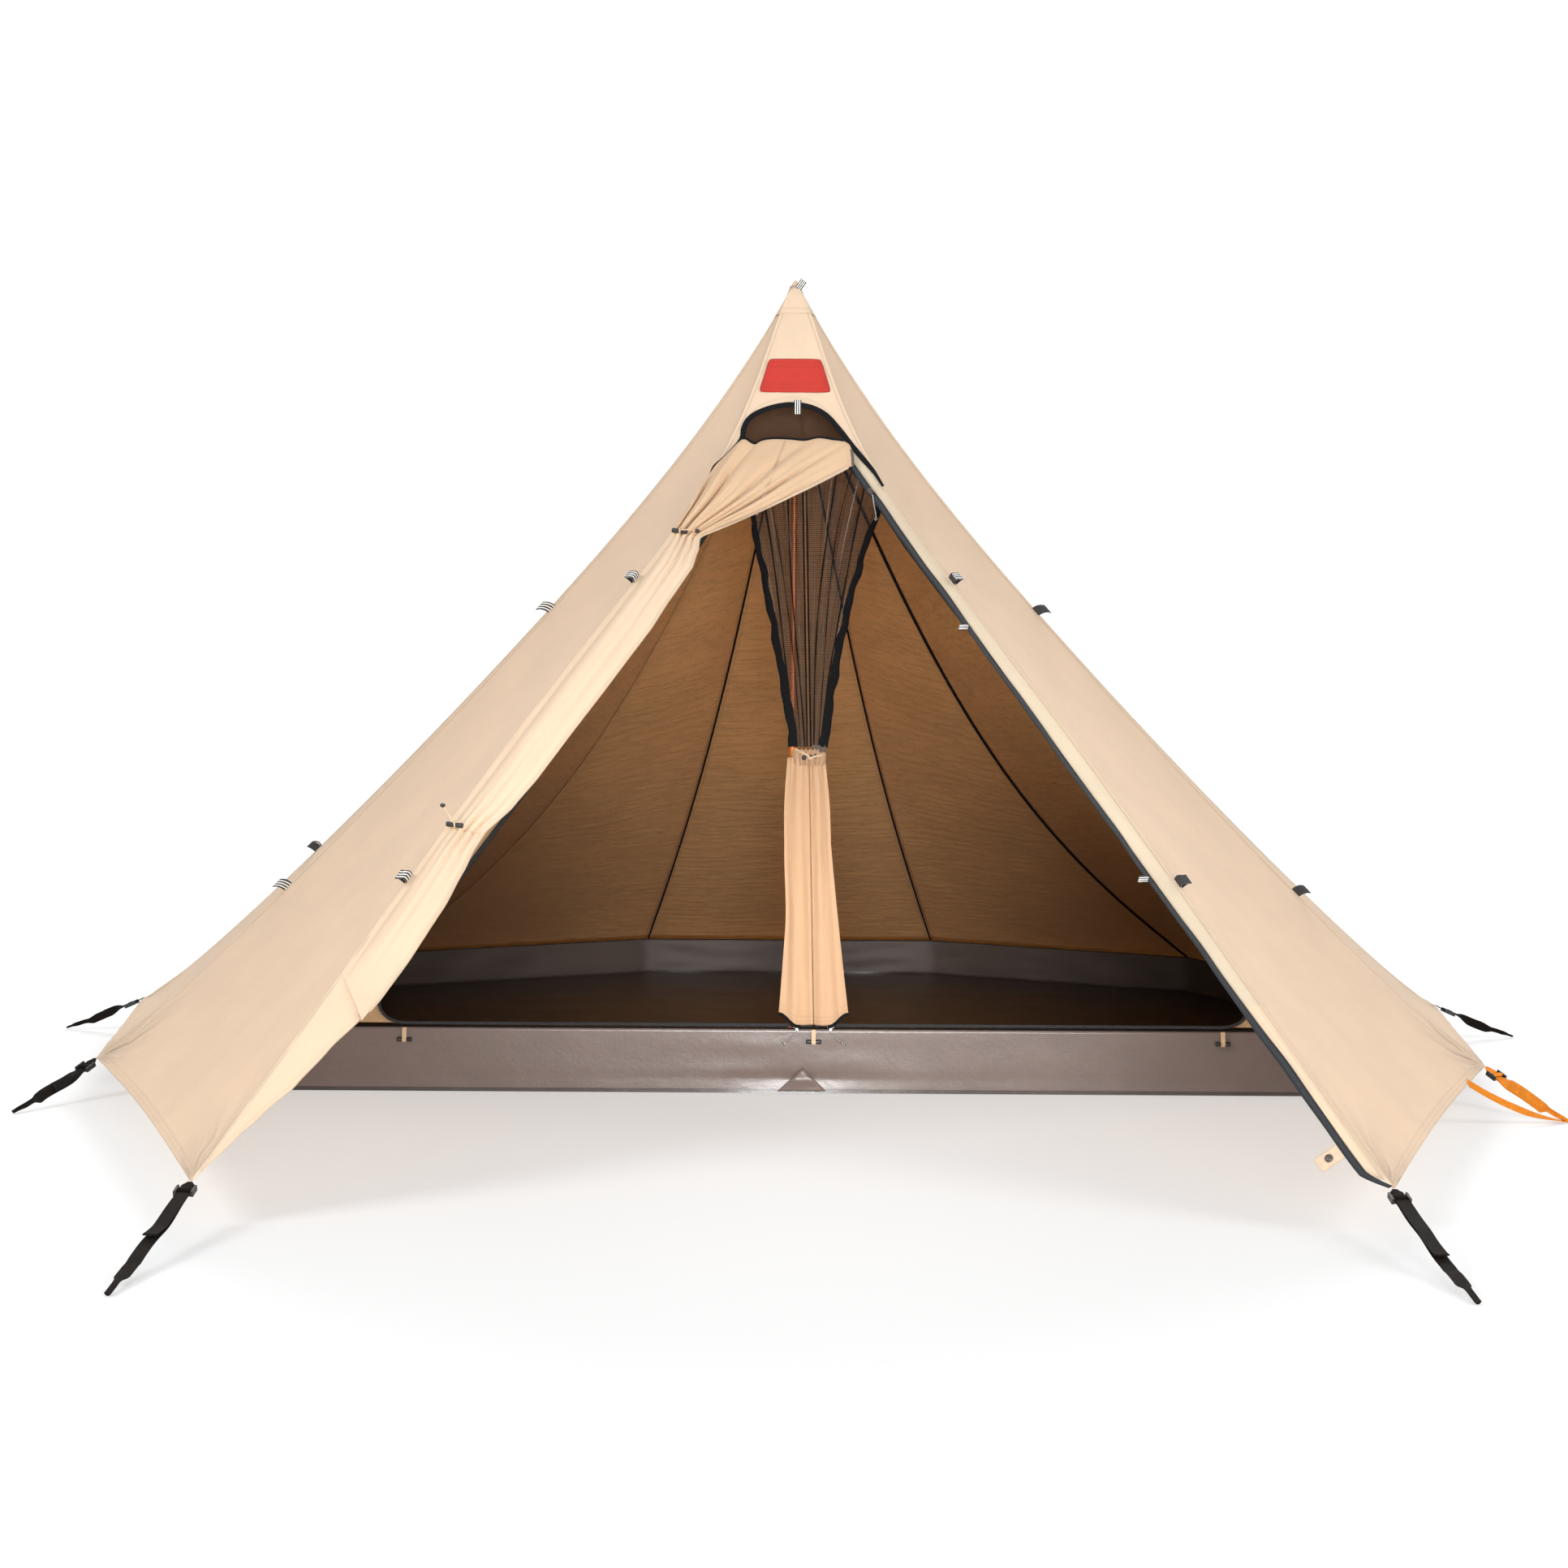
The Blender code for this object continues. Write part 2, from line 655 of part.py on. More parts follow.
def make_inner_zips():
    """Zip tape round each doorway: down the slanted edge, round the corner, along the sill."""
    for side_name, side in SIDES.items():
        low = SILL_HEIGHT + OPENING_CORNER_RADIUS
        points = []
        for k in range(7):
            height = OPENING_TOP - 0.02 - (OPENING_TOP - 0.02 - low) * k / 6
            points.append((opening_side_x(height), height))
        for f in (0.62, 0.34, 0.14, 0.03):
            height = SILL_HEIGHT + OPENING_CORNER_RADIUS * f
            points.append((opening_side_x(height), height))
        points.append((OPENING_CORNER_X - OPENING_CORNER_RADIUS * 1.6, SILL_HEIGHT))
        points.append((0.004, SILL_HEIGHT))
        rows = []
        for k, (x, height) in enumerate(points):
            before = points[max(k - 1, 0)]
            after = points[min(k + 1, len(points) - 1)]
            ahead = Vector((after[0] - before[0], 0, after[1] - before[1])).normalized()
            across = Vector((-ahead.z, 0, ahead.x)) * INNER_ZIP_WIDTH / 2
            y = front_plane_y(height) - CLOTH - TOUCH_GAP
            middle = Vector((doorway_middle(height), y, height))
            near = middle + Vector((side * (x + across.x), 0, across.z))
            far = middle + Vector((side * (x - across.x), 0, -across.z))
            rows.append([near, far])
        sheet(f"inner_zip_{side_name}", rows, ZIP_BLACK, to_front, ZIP_THICK)


def make_floor_tub():
    """Coated groundsheet with its walls turned up: one cloth, open at the top."""
    order = [("mid", 1), ("side", 1), ("rear", 1), ("back", 1),
             ("back", -1), ("rear", -1), ("side", -1), ("mid", -1)]
    bm = bmesh.new()
    ground = []
    rim = []
    for place, side in order:
        x, y = inner_corner(place, side)
        ground.append(bm.verts.new((x, y, TUB_CLOTH)))
        rim.append(bm.verts.new((x, y, wall_height(place))))
    bm.faces.new(ground)
    for k in range(len(order)):
        n = (k + 1) % len(order)
        bm.faces.new((ground[k], ground[n], rim[n], rim[k]))
    bmesh.ops.recalc_face_normals(bm, faces=bm.faces)
    ob = add_object("floor_tub", mesh_of(bm), TUB_COATED)
    solid = ob.modifiers.new("cloth", "SOLIDIFY")
    solid.thickness = TUB_CLOTH
    solid.offset = 1.0
    solid.use_even_offset = True
    return ob


# Inner doors, gathered in the middle: netting above the tie, cloth hanging below it
def gather_width(height):
    """Width of both gathered doors together: wide at the top, pinched at the tie, wider again."""
    top = OPENING_TOP - DOOR_TOP_GAP
    foot = SILL_HEIGHT + INNER_ZIP_WIDTH
    if height > INNER_TIE_HEIGHT:
        share = (height - INNER_TIE_HEIGHT) / (top - INNER_TIE_HEIGHT)
        return GATHER_TIE_WIDTH + (MESH_TOP_WIDTH - GATHER_TIE_WIDTH) * share
    share = (INNER_TIE_HEIGHT - height) / (INNER_TIE_HEIGHT - foot)
    return GATHER_TIE_WIDTH + (GATHER_FOOT_WIDTH - GATHER_TIE_WIDTH) * share ** 0.85


def door_face_y(height):
    """The doors hang just in front of the zip tape, so that they clear it."""
    return front_plane_y(height) - CLOTH - ZIP_THICK - 2 * TOUCH_GAP


def make_inner_doors():
    top = OPENING_TOP - DOOR_TOP_GAP
    foot = SILL_HEIGHT + INNER_ZIP_WIDTH
    steps = 14
    spans = INNER_DOOR_FOLDS * 6
    for side_name, side in SIDES.items():
        rows = []
        for i in range(steps + 1):
            row = []
            for k in range(spans + 1):
                s = k / spans
                lowest = foot + GATHER_CORNER_RISE * max((s - 0.4) / 0.6, 0.0) ** 1.5
                height = top + (lowest - top) * i / steps
                width = gather_width(height)
                wave = GATHER_FOLD * (1 + cos(2 * pi * INNER_DOOR_FOLDS * s)) / 2
                x = SEAM_GAP / 2 + (width / 2 - SEAM_GAP / 2) * s
                row.append(Vector((doorway_middle(height) + side * x, door_face_y(height) - wave, height)))
            rows.append(row)
        sheet(f"inner_door_{side_name}", rows, INNER_COTTON, to_front)


# Pole: tube sections with reduced ends, a foot cap and a tip
def turned(name, profile, mat, parent=None, steps=24):
    """A closed profile of (radius, height), outer side first and top to bottom, turned about Z."""
    bm = bmesh.new()
    verts = [bm.verts.new((r, 0, z)) for r, z in profile]
    on_axis = profile[0][0] == 0 and profile[-1][0] == 0
    for a, b in zip(verts, verts[1:]):
        bm.edges.new((a, b))
    if not on_axis:
        bm.edges.new((verts[-1], verts[0]))
    ob = add_object(name, mesh_of(bm), mat, parent)
    screw = ob.modifiers.new("turn", "SCREW")
    screw.steps = steps
    screw.render_steps = steps
    screw.use_merge_vertices = True
    screw.merge_threshold = 0.00005
    return smooth(ob)


def make_pole():
    foot_top = TUB_CLOTH + TOUCH_GAP + FOOT_HEIGHT
    tip_base = APEX_HEIGHT - TIP_HEIGHT
    length = (tip_base - foot_top) / POLE_SECTIONS
    names = ["pole_lower", "pole_middle", "pole_upper"]
    bore = POLE_RADIUS - POLE_WALL
    spigot = bore - TOUCH_GAP
    for index in range(POLE_SECTIONS):
        base = foot_top + index * length + (TOUCH_GAP if index else 0)
        top = foot_top + (index + 1) * length
        has_ferrule = index < POLE_SECTIONS - 1
        profile = [(POLE_RADIUS, top), (POLE_RADIUS, base), (bore, base), (bore, top)]
        if has_ferrule:
            inner = spigot - POLE_WALL
            profile = [(spigot, top + FERRULE_LENGTH / 2), (spigot, top), (POLE_RADIUS, top),
                       (POLE_RADIUS, base), (bore, base), (bore, top - FERRULE_LENGTH / 2),
                       (inner, top - FERRULE_LENGTH / 2), (inner, top + FERRULE_LENGTH / 2)]
        turned(names[index], profile, POLE_ORANGE)
    plug = bore - TOUCH_GAP
    base = TUB_CLOTH + TOUCH_GAP
    turned("pole_foot", [(0, foot_top + 0.02), (plug, foot_top + 0.02), (plug, foot_top - TOUCH_GAP),
                         (FOOT_RADIUS * 0.8, foot_top - TOUCH_GAP), (FOOT_RADIUS, base + 0.004),
                         (FOOT_RADIUS - 0.002, base), (0, base)], RUBBER)
    top = APEX_HEIGHT + CAP_PEAK - 0.8 * TIP_NOSE
    turned("pole_tip", [(0, top), (TIP_NOSE, top - 0.001), (0.0055, top - 0.010),
                        (POLE_RADIUS, tip_base + 0.006), (POLE_RADIUS, tip_base + TOUCH_GAP),
                        (plug, tip_base + TOUCH_GAP),
                        (plug, tip_base - 0.02), (0, tip_base - 0.02)], PLASTIC)


# Corner straps, each hinged where it is sewn to its corner
STRAPS = {
    "front": (STRAP_FRONT_X, STRAP_FRONT_Y),
    "mid": (STRAP_MID_X, STRAP_MID_Y),
    "side": (STRAP_SIDE_X, STRAP_SIDE_Y),
    "rear": (STRAP_REAR_X, STRAP_REAR_Y),
    "back": (STRAP_BACK_X, STRAP_BACK_Y),
}


def loft_sections(sections):
    """A closed bar through rectangles given as (x, z, width, thickness, y)."""
    bm = bmesh.new()
    rings = []
    for x, z, width, thick, y in sections:
        half_w = width / 2
        ring = [bm.verts.new((x, y + sy * half_w, z + sz * thick))
                for sy, sz in ((-1, 0), (1, 0), (1, 1), (-1, 1))]
        rings.append(ring)
    for a, b in zip(rings, rings[1:]):
        for k in range(4):
            n = (k + 1) % 4
            bm.faces.new((a[k], a[n], b[n], b[k]))
    bm.faces.new(rings[0][::-1])
    bm.faces.new(rings[-1])
    bmesh.ops.recalc_face_normals(bm, faces=bm.faces)
    return mesh_of(bm)


def strap_mesh(reach, drop):
    """Webbing from the corner through the buckle, doubled, then folded narrow to the peg loop."""
    def height(x):
        return -drop * (x / reach) ** 0.85 if x > 0 else 0.0

    double = 2 * WEBBING_THICK
    after = BUCKLE_PLACE + BUCKLE_LENGTH
    narrow = reach - PEG_LOOP_LENGTH
    belly = (after + narrow) / 2
    sections = [
        (0, -WEBBING_THICK / 4, WEBBING_WIDTH * 0.06, WEBBING_THICK / 2, 0),
        (BUCKLE_PLACE * 0.7, height(BUCKLE_PLACE * 0.7), WEBBING_WIDTH * 0.55, WEBBING_THICK, 0),
        (BUCKLE_PLACE, height(BUCKLE_PLACE), WEBBING_WIDTH, WEBBING_THICK, 0),
        (after, height(after), WEBBING_WIDTH, WEBBING_THICK, 0),
        (after + 0.006, height(after + 0.006), WEBBING_WIDTH, double, 0),
        (belly, height(belly), WEBBING_WIDTH, double, 0.001),
        (narrow - 0.012, height(narrow - 0.012), WEBBING_WIDTH, double, 0),
        (narrow, height(narrow), PEG_LOOP_WIDTH, double * 1.4, 0),
        (reach - 0.012, height(reach - 0.012), PEG_LOOP_WIDTH, double * 1.2, 0),
        (reach, height(reach), PEG_LOOP_WIDTH * 1.3, double, 0),
    ]
    return loft_sections(sections)


def box_cutter(name, size, centre):
    bpy.ops.mesh.primitive_cube_add(size=1, location=(0, 0, 0))
    ob = bpy.context.object
    ob.name = name
    for vert in ob.data.vertices:
        vert.co = Vector((vert.co.x * size[0], vert.co.y * size[1], vert.co.z * size[2])) + Vector(centre)
    move_to(ob, CUTTERS)
    ob.hide_render = True
    ob.display_type = "WIRE"
    return ob


def move_to(ob, collection):
    for old in list(ob.users_collection):
        old.objects.unlink(ob)
    collection.objects.link(ob)


def united_mesh(pieces):
    """One closed mesh from overlapping solids."""
    base = pieces[0]
    for other in pieces[1:]:
        union = base.modifiers.new("join", "BOOLEAN")
        union.operation = "UNION"
        union.object = other
    bpy.context.view_layer.update()
    evaluated = base.evaluated_get(bpy.context.evaluated_depsgraph_get())
    mesh = bpy.data.meshes.new_from_object(evaluated)
    for piece in pieces:
        bpy.data.objects.remove(piece)
    return mesh


def buckle_mesh(slope):
    """Three-bar ladder lock: side rails, two bars under the webbing and one over it."""
    rail = 0.004
    clear = 0.0005
    half = WEBBING_WIDTH / 2 + clear + rail / 2
    above = WEBBING_THICK + clear
    below = clear
    height = above + below + 2 * BUCKLE_BAR
    middle = (above - below) / 2
    pieces = []
    for side in (-1, 1):
        size = (BUCKLE_LENGTH, rail, height)
        pieces.append(box_cutter("rail", size, (BUCKLE_LENGTH / 2, side * half, middle)))
    under = -below - BUCKLE_BAR / 2
    over = above + BUCKLE_BAR / 2
    for x, z in ((BUCKLE_BAR, under), (BUCKLE_LENGTH / 2, over), (BUCKLE_LENGTH - BUCKLE_BAR, under)):
        pieces.append(box_cutter("bar", (BUCKLE_BAR * 1.3, 2 * half, BUCKLE_BAR * 0.98), (x, 0, z)))
    mesh = united_mesh(pieces)
    mesh.transform(Matrix.Rotation(slope, 4, "Y"))
    return mesh


def make_straps():
    for side_name, side in SIDES.items():
        for place, (dx, dy) in STRAPS.items():
            corner = fly_seam(place, side).at(1.0)
            heading = Vector((side * dx, dy))
            reach = heading.length
            pivot = bpy.data.objects.new(f"strap_pivot_{place}_{side_name}", None)
            seat = MID_STRAP_SEAT if place == "mid" else STRAP_SEAT
            pivot.location = corner + Vector((*(heading / reach * seat), 0))
            pivot.rotation_euler = (0, 0, atan2(heading.y, heading.x))
            PARTS.objects.link(pivot)
            drop = CORNER_HEIGHT - STRAP_LIFT
            orange = place == "mid" and side > 0
            strap = add_object(f"strap_{place}_{side_name}", strap_mesh(reach, drop),
                               WEBBING_ORANGE if orange else WEBBING, pivot)
            strap.data.shade_flat()

            def height(x):
                return -drop * (x / reach) ** 0.85

            low = height(BUCKLE_PLACE + BUCKLE_LENGTH)
            slope = atan2(height(BUCKLE_PLACE) - low, BUCKLE_LENGTH)
            buckle = add_object(f"buckle_{place}_{side_name}", buckle_mesh(slope), PLASTIC, pivot)
            buckle.location = (BUCKLE_PLACE, 0, height(BUCKLE_PLACE))


# Toggles and sliders
def toggle(name, centre, axis):
    half = TOGGLE_LENGTH / 2
    r = TOGGLE_RADIUS
    upper = [(0, half), (r * 0.75, half - 0.0008), (r, half - TOGGLE_NECK), (TOGGLE_WAIST, TOGGLE_NECK)]
    lower = [(radius, -height) for radius, height in reversed(upper)]
    ob = turned(name, upper + lower, PLASTIC, steps=14)
    ob.location = centre
    ob.rotation_euler = Vector(axis).to_track_quat("Z", "Y").to_euler()
    return ob


def make_toggles():
    wall_face = FRONT_WALL_Y - TUB_CLOTH
    wall_seat = wall_face - TOGGLE_GAP - TOGGLE_RADIUS
    low = FRONT_WALL_HEIGHT - WALL_TOGGLE_DROP
    middle = doorway_middle(SILL_HEIGHT)
    for name, aside in (("left", -WALL_TOGGLE_SPREAD), ("centre", 0), ("right", WALL_TOGGLE_SPREAD)):
        toggle(f"wall_toggle_{name}", (middle + aside, wall_seat, low), (1, 0, 0))
    lean = door_face_y(INNER_TIE_HEIGHT + TOGGLE_LENGTH) - door_face_y(INNER_TIE_HEIGHT)
    facing = Vector((0, -TOGGLE_LENGTH, lean)).normalized()
    middle = doorway_middle(INNER_TIE_HEIGHT)
    face = Vector((middle, door_face_y(INNER_TIE_HEIGHT) - CLOTH - GATHER_FOLD, INNER_TIE_HEIGHT))
    seat = face + facing * (TOGGLE_GAP + TOGGLE_WAIST)
    toggle("inner_door_toggle", seat, facing.cross(Vector((0.15, 0, -1))))
    for name, station in TIE_STATIONS.items():
        centre, across, facing = tie_seat(station)
        toggle(f"door_toggle_{name}", centre, across)


def toggle_radius(along):
    """Radius of a toggle at a distance from its middle."""
    if along > TOGGLE_LENGTH / 2:
        return 0.0
    share = (along - TOGGLE_NECK) / (TOGGLE_LENGTH / 2 - 2 * TOGGLE_NECK)
    return TOGGLE_WAIST + (TOGGLE_RADIUS - TOGGLE_WAIST) * min(max(share, 0.0), 1.0)


def tie_seat(station):
    """Where a toggle lies on the gathered door: centre, direction across the bundle and way out."""
    stations = door_stations()
    face = door_point(stations, station, 0.5)
    below = door_point(stations, station + 0.5, 0.5)
    across = (door_point(stations, station, 1.0) - door_point(stations, station, 0.0)).normalized()
    facing = across.cross(below - face).normalized()
    if facing.y > 0:
        facing = -facing
    seat = 0.0
    for turn in range(-TOGGLE_SWING, TOGGLE_SWING + 1, 10):
        lie = Matrix.Rotation(radians(turn), 3, facing) @ across
        beside = facing.cross(lie)
        for i in range(-8, 9):
            for k in range(49):
                offset = door_point(stations, station + i / 16, k / 48) - face
                aside = abs(offset.dot(beside))
                radius = toggle_radius(abs(offset.dot(lie)))
                if aside < radius:
                    seat = max(seat, offset.dot(facing) + sqrt(radius ** 2 - aside ** 2))
    return face + facing * (seat + CLOTH + TOGGLE_GAP), across, facing


def slider_mesh(length, width):
    """Zip slider with its pull hanging in front of it; length is measured up, width across."""
    depth = SLIDER_DEPTH
    body = box_cutter("body", (width, depth, length), (0, -depth / 2, 0))
    bridge = box_cutter("bridge", (SLIDER_BRIDGE, 0.004, length * 0.6), (0, -depth - 0.001, 0))
    size = (SLIDER_BRIDGE * 2, 0.0018, PULL_LENGTH)
    pull = box_cutter("pull", size, (0, -depth - 0.002, -PULL_LENGTH / 2))
    return united_mesh([body, bridge, pull])


def make_sliders():
    face = front_plane_y(SILL_HEIGHT) - CLOTH - ZIP_THICK - 2 * TOUCH_GAP
    for side_name, side in SIDES.items():
        x = doorway_middle(SILL_HEIGHT) + side * INNER_SLIDER_PARK
        ob = add_object(f"inner_slider_{side_name}", slider_mesh(SLIDER_WIDTH, SLIDER_LENGTH), SLIDER_WHITE)
        ob.location = (x, face, SILL_HEIGHT)
    height = ZIP_HEAD_HEIGHT - SLIDER_PARK
    along, across, normal = placket_frame()
    ob = add_object("outer_slider", slider_mesh(SLIDER_LENGTH, SLIDER_WIDTH), SLIDER_WHITE)
    ob.data.transform(Matrix((across, -normal, -along)).transposed().to_4x4())
    tape_centre = placket_edge(height) - across * (ZIP_WIDTH / 2 - ZIP_LAP) + zip_offset()
    ob.location = tape_centre + normal * (ZIP_THICK + TOUCH_GAP)


def make_stud_tab():
    """Cloth tab with a press stud at the foot of the zip."""
    along, across, normal = placket_frame()
    plate = box_cutter("plate", (STUD_TAB_LENGTH, STUD_TAB_THICK, STUD_TAB_WIDTH), (0, 0, 0))
    bpy.ops.mesh.primitive_cylinder_add(vertices=20, radius=STUD_RADIUS, depth=2 * STUD_TAB_THICK,
                                        rotation=(radians(90), 0, 0), location=(0, -STUD_TAB_THICK, 0))
    stud = bpy.context.object
    move_to(stud, CUTTERS)
    ob = add_object("stud_tab", united_mesh([plate, stud]), COTTON)
    ob.data.transform(Matrix((across, -normal, -along)).transposed().to_4x4())
    edge = placket_edge(ZIP_FOOT_HEIGHT) - along * STUD_TAB_WIDTH * STUD_TAB_PLACE
    reach = ZIP_WIDTH - ZIP_LAP + TOUCH_GAP + STUD_TAB_LENGTH / 2
    ob.location = edge - across * reach + zip_offset() + normal * ZIP_THICK / 2


def build():
    make_fly_panels()
    make_fly_front()
    make_apex_cap()
    make_outer_zip()
    make_outer_door()
    make_floor_tub()
    make_inner_panels()
    make_inner_fronts()
    make_inner_zips()
    make_inner_doors()
    make_pole()
    make_straps()
    make_toggles()
    make_sliders()
    make_stud_tab()


build()
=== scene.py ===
"""Looks for the single-pole tipi tent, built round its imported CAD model.

Metres, +Z up, the door faces -Y. The plan, seams and openings repeat the CAD model's sizes.
"""

import bpy
import bmesh
import numpy as np
from math import atan2, cos, exp, hypot, pi, radians, sin, sqrt
from mathutils import Matrix, Vector, noise


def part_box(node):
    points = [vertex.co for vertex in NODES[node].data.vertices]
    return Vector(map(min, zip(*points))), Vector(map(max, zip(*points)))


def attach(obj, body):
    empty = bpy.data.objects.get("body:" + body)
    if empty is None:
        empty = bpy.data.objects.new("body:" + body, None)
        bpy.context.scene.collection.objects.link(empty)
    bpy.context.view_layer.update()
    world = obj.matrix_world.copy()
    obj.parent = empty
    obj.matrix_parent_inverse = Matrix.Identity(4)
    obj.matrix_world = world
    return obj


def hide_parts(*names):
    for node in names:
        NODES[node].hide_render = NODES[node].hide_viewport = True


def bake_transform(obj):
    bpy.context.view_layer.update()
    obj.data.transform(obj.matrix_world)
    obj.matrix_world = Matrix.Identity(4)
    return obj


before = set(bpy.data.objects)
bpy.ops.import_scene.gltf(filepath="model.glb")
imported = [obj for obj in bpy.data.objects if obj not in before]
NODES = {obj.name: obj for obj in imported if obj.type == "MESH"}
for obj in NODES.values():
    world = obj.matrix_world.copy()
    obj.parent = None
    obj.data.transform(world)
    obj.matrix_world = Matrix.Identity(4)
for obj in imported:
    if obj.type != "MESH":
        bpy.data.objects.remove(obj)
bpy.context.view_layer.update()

# Sizes shared with the CAD model
APEX_HEIGHT = 1.75
APEX_RING = 0.010
CAP_PEAK = 0.012
CORNER_HEIGHT = 0.083
CLOTH = 0.0015
HEM_RISE = 0.012
HEM_HOLD = 0.7
PANEL_SAG = 0.030
NECK_PLACE = 0.22
FLY_PLAN = {"front": (1.015, -1.46), "mid": (1.49, -0.14), "side": (1.60, 0.82),
            "rear": (1.186, 1.77), "back": (0.439, 2.157)}
FLY_BOW = {"front": (0.025, 0.085), "mid": (0.075, 0.017), "side": (0.088, 0.017),
           "rear": (0.088, 0.017), "back": (0.088, 0.017)}
STRAPS = {"front": (0.03, -0.47), "mid": (0.12, -0.22), "side": (0.20, 0.02),
          "rear": (0.12, 0.17), "back": (0.05, 0.21)}
SIDES = {"left": -1, "right": 1}
ZIP_HEAD_HEIGHT = 1.31
ZIP_FOOT_HEIGHT = 0.112
PLACKET_TOP = 0.032
PLACKET_FOOT = 0.026
INNER_APEX = 1.60
INNER_RING = 0.0092
INNER_INSET = 0.145
FRONT_WALL_Y = -0.05
FRONT_WALL_HEIGHT = 0.143
BACK_WALL_HEIGHT = 0.098
INNER_BOW = {"mid": 0.09, "side": 0.15, "rear": 0.185, "back": 0.105}
OPENING_TOP = 1.41
OPENING_CORNER_X = 1.01
OPENING_TOP_X = 0.02
OPENING_LEAN = 0.0236
OPENING_CORNER_RADIUS = 0.125
SILL_HEIGHT = 0.151
INNER_TIE_HEIGHT = 0.735


# Material helpers
def node(nt, kind, *links, **settings):
    """Adds a node, sets its properties, and feeds its inputs in order; None skips one."""
    made = nt.nodes.new("ShaderNode" + kind)
    for key, value in settings.items():
        setattr(made, key, value)
    for index, value in enumerate(links):
        if value is None:
            continue
        if isinstance(value, bpy.types.NodeSocket):
            nt.links.new(value, made.inputs[index])
        else:
            made.inputs[index].default_value = value
    return made


def math(nt, operation, *values):
    return node(nt, "Math", *values, operation=operation).outputs[0]


def mix(nt, share, a, b):
    made = node(nt, "Mix", data_type="RGBA")
    for socket, value in ((made.inputs[0], share), (made.inputs[6], a), (made.inputs[7], b)):
        if isinstance(value, bpy.types.NodeSocket):
            nt.links.new(value, socket)
        elif isinstance(value, tuple):
            socket.default_value = (*value[:3], 1.0)
        else:
            socket.default_value = value
    return made.outputs[2]


def grade(nt, value, low, high, to_low=0.0, to_high=1.0):
    """A smooth step of value from low to high."""
    made = node(nt, "MapRange", value, low, high, to_low, to_high, interpolation_type="SMOOTHSTEP")
    return made.outputs[0]


def tint(colour, factor):
    return tuple(c * factor for c in colour[:3])


def start(name, rough, metallic=0.0, sheen=0.0, coat=0.0, shine=0.5):
    mat = bpy.data.materials.new(name)
    mat.use_nodes = True
    nt = mat.node_tree
    shader = nt.nodes["Principled BSDF"]
    shader.inputs["Roughness"].default_value = rough
    shader.inputs["Metallic"].default_value = metallic
    shader.inputs["Sheen Weight"].default_value = sheen
    shader.inputs["Coat Weight"].default_value = coat
    shader.inputs["Specular IOR Level"].default_value = shine
    return mat, nt, shader


def noise_of(nt, where, scale, detail=3.0, rough=0.5):
    made = node(nt, "TexNoise", where)
    made.inputs["Scale"].default_value = scale
    made.inputs["Detail"].default_value = detail
    made.inputs["Roughness"].default_value = rough
    return made.outputs[0]


def cut_map(nt):
    """Both values of the map "cut"."""
    split = node(nt, "SeparateXYZ", node(nt, "UVMap", uv_map="cut").outputs[0])
    return split.outputs[0], split.outputs[1]


def waves(nt, run, length):
    """A sine along a run of metres, one turn per length."""
    return math(nt, "SINE", math(nt, "MULTIPLY", run, 2 * pi / length))


def paint(nt, shader, socket, value):
    nt.links.new(value, shader.inputs[socket])


def relief(nt, shader, height, strength):
    """Feeds a height in metres to the shader as a bump."""
    bump = node(nt, "Bump", strength, 1.0)
    nt.links.new(height, bump.inputs["Height"])
    nt.links.new(bump.outputs[0], shader.inputs["Normal"])
    return bump


def weave_height(nt, u, v, thread):
    """Over and under of a plain weave, from metres along the two threads."""
    both = math(nt, "MULTIPLY", waves(nt, u, thread), waves(nt, v, thread))
    return math(nt, "MULTIPLY_ADD", both, 0.5, 0.5)


def stretched_noise(nt, where, scale, detail=3.0, rough=0.5, turn=0.0):
    """Noise that is longer one way than the other."""
    made = node(nt, "Mapping", where)
    made.inputs["Scale"].default_value = scale
    made.inputs["Rotation"].default_value = (0.0, 0.0, turn)
    return noise_of(nt, made.outputs[0], 1.0, detail, rough)


def pull_folds(nt, cut, body, height, shade):
    """Folds that fan out of the corners, with painted shade in their valleys; map "pull" holds the angle and
    the way to the corner.
    """
    fan = node(nt, "SeparateXYZ", node(nt, "UVMap", uv_map="pull").outputs[0])
    angle, far = fan.outputs[0], fan.outputs[1]
    stray = noise_of(nt, cut, 9.0, 2.0)
    turn = math(nt, "MULTIPLY_ADD", angle, 10.0, math(nt, "MULTIPLY", stray, 4.5))
    ridges = math(nt, "POWER", math(nt, "ABSOLUTE", math(nt, "COSINE", turn)), 2.5)
    slack = math(nt, "ABSOLUTE", math(nt, "SINE", math(nt, "MULTIPLY_ADD", turn, 0.53, 1.0)))
    ridges = math(nt, "MULTIPLY", ridges, math(nt, "MULTIPLY_ADD", slack, 0.6, 0.4))
    reach = math(nt, "MULTIPLY", grade(nt, far, 0.0, 0.05), grade(nt, far, 0.05, 0.34, 1.0, 0.0))
    ridges = math(nt, "MULTIPLY", ridges, reach)
    # Painted shade in the valleys between the folds.
    valley_shade = math(nt, "MULTIPLY", math(nt, "SUBTRACT", reach, ridges), 0.30)
    return mix(nt, valley_shade, body, shade), math(nt, "MULTIPLY_ADD", ridges, 0.013, height)


SEAM_ROWS = (0.0035, 0.0095)
HEM_ROWS = (0.009, 0.018)
STITCH = 0.0042


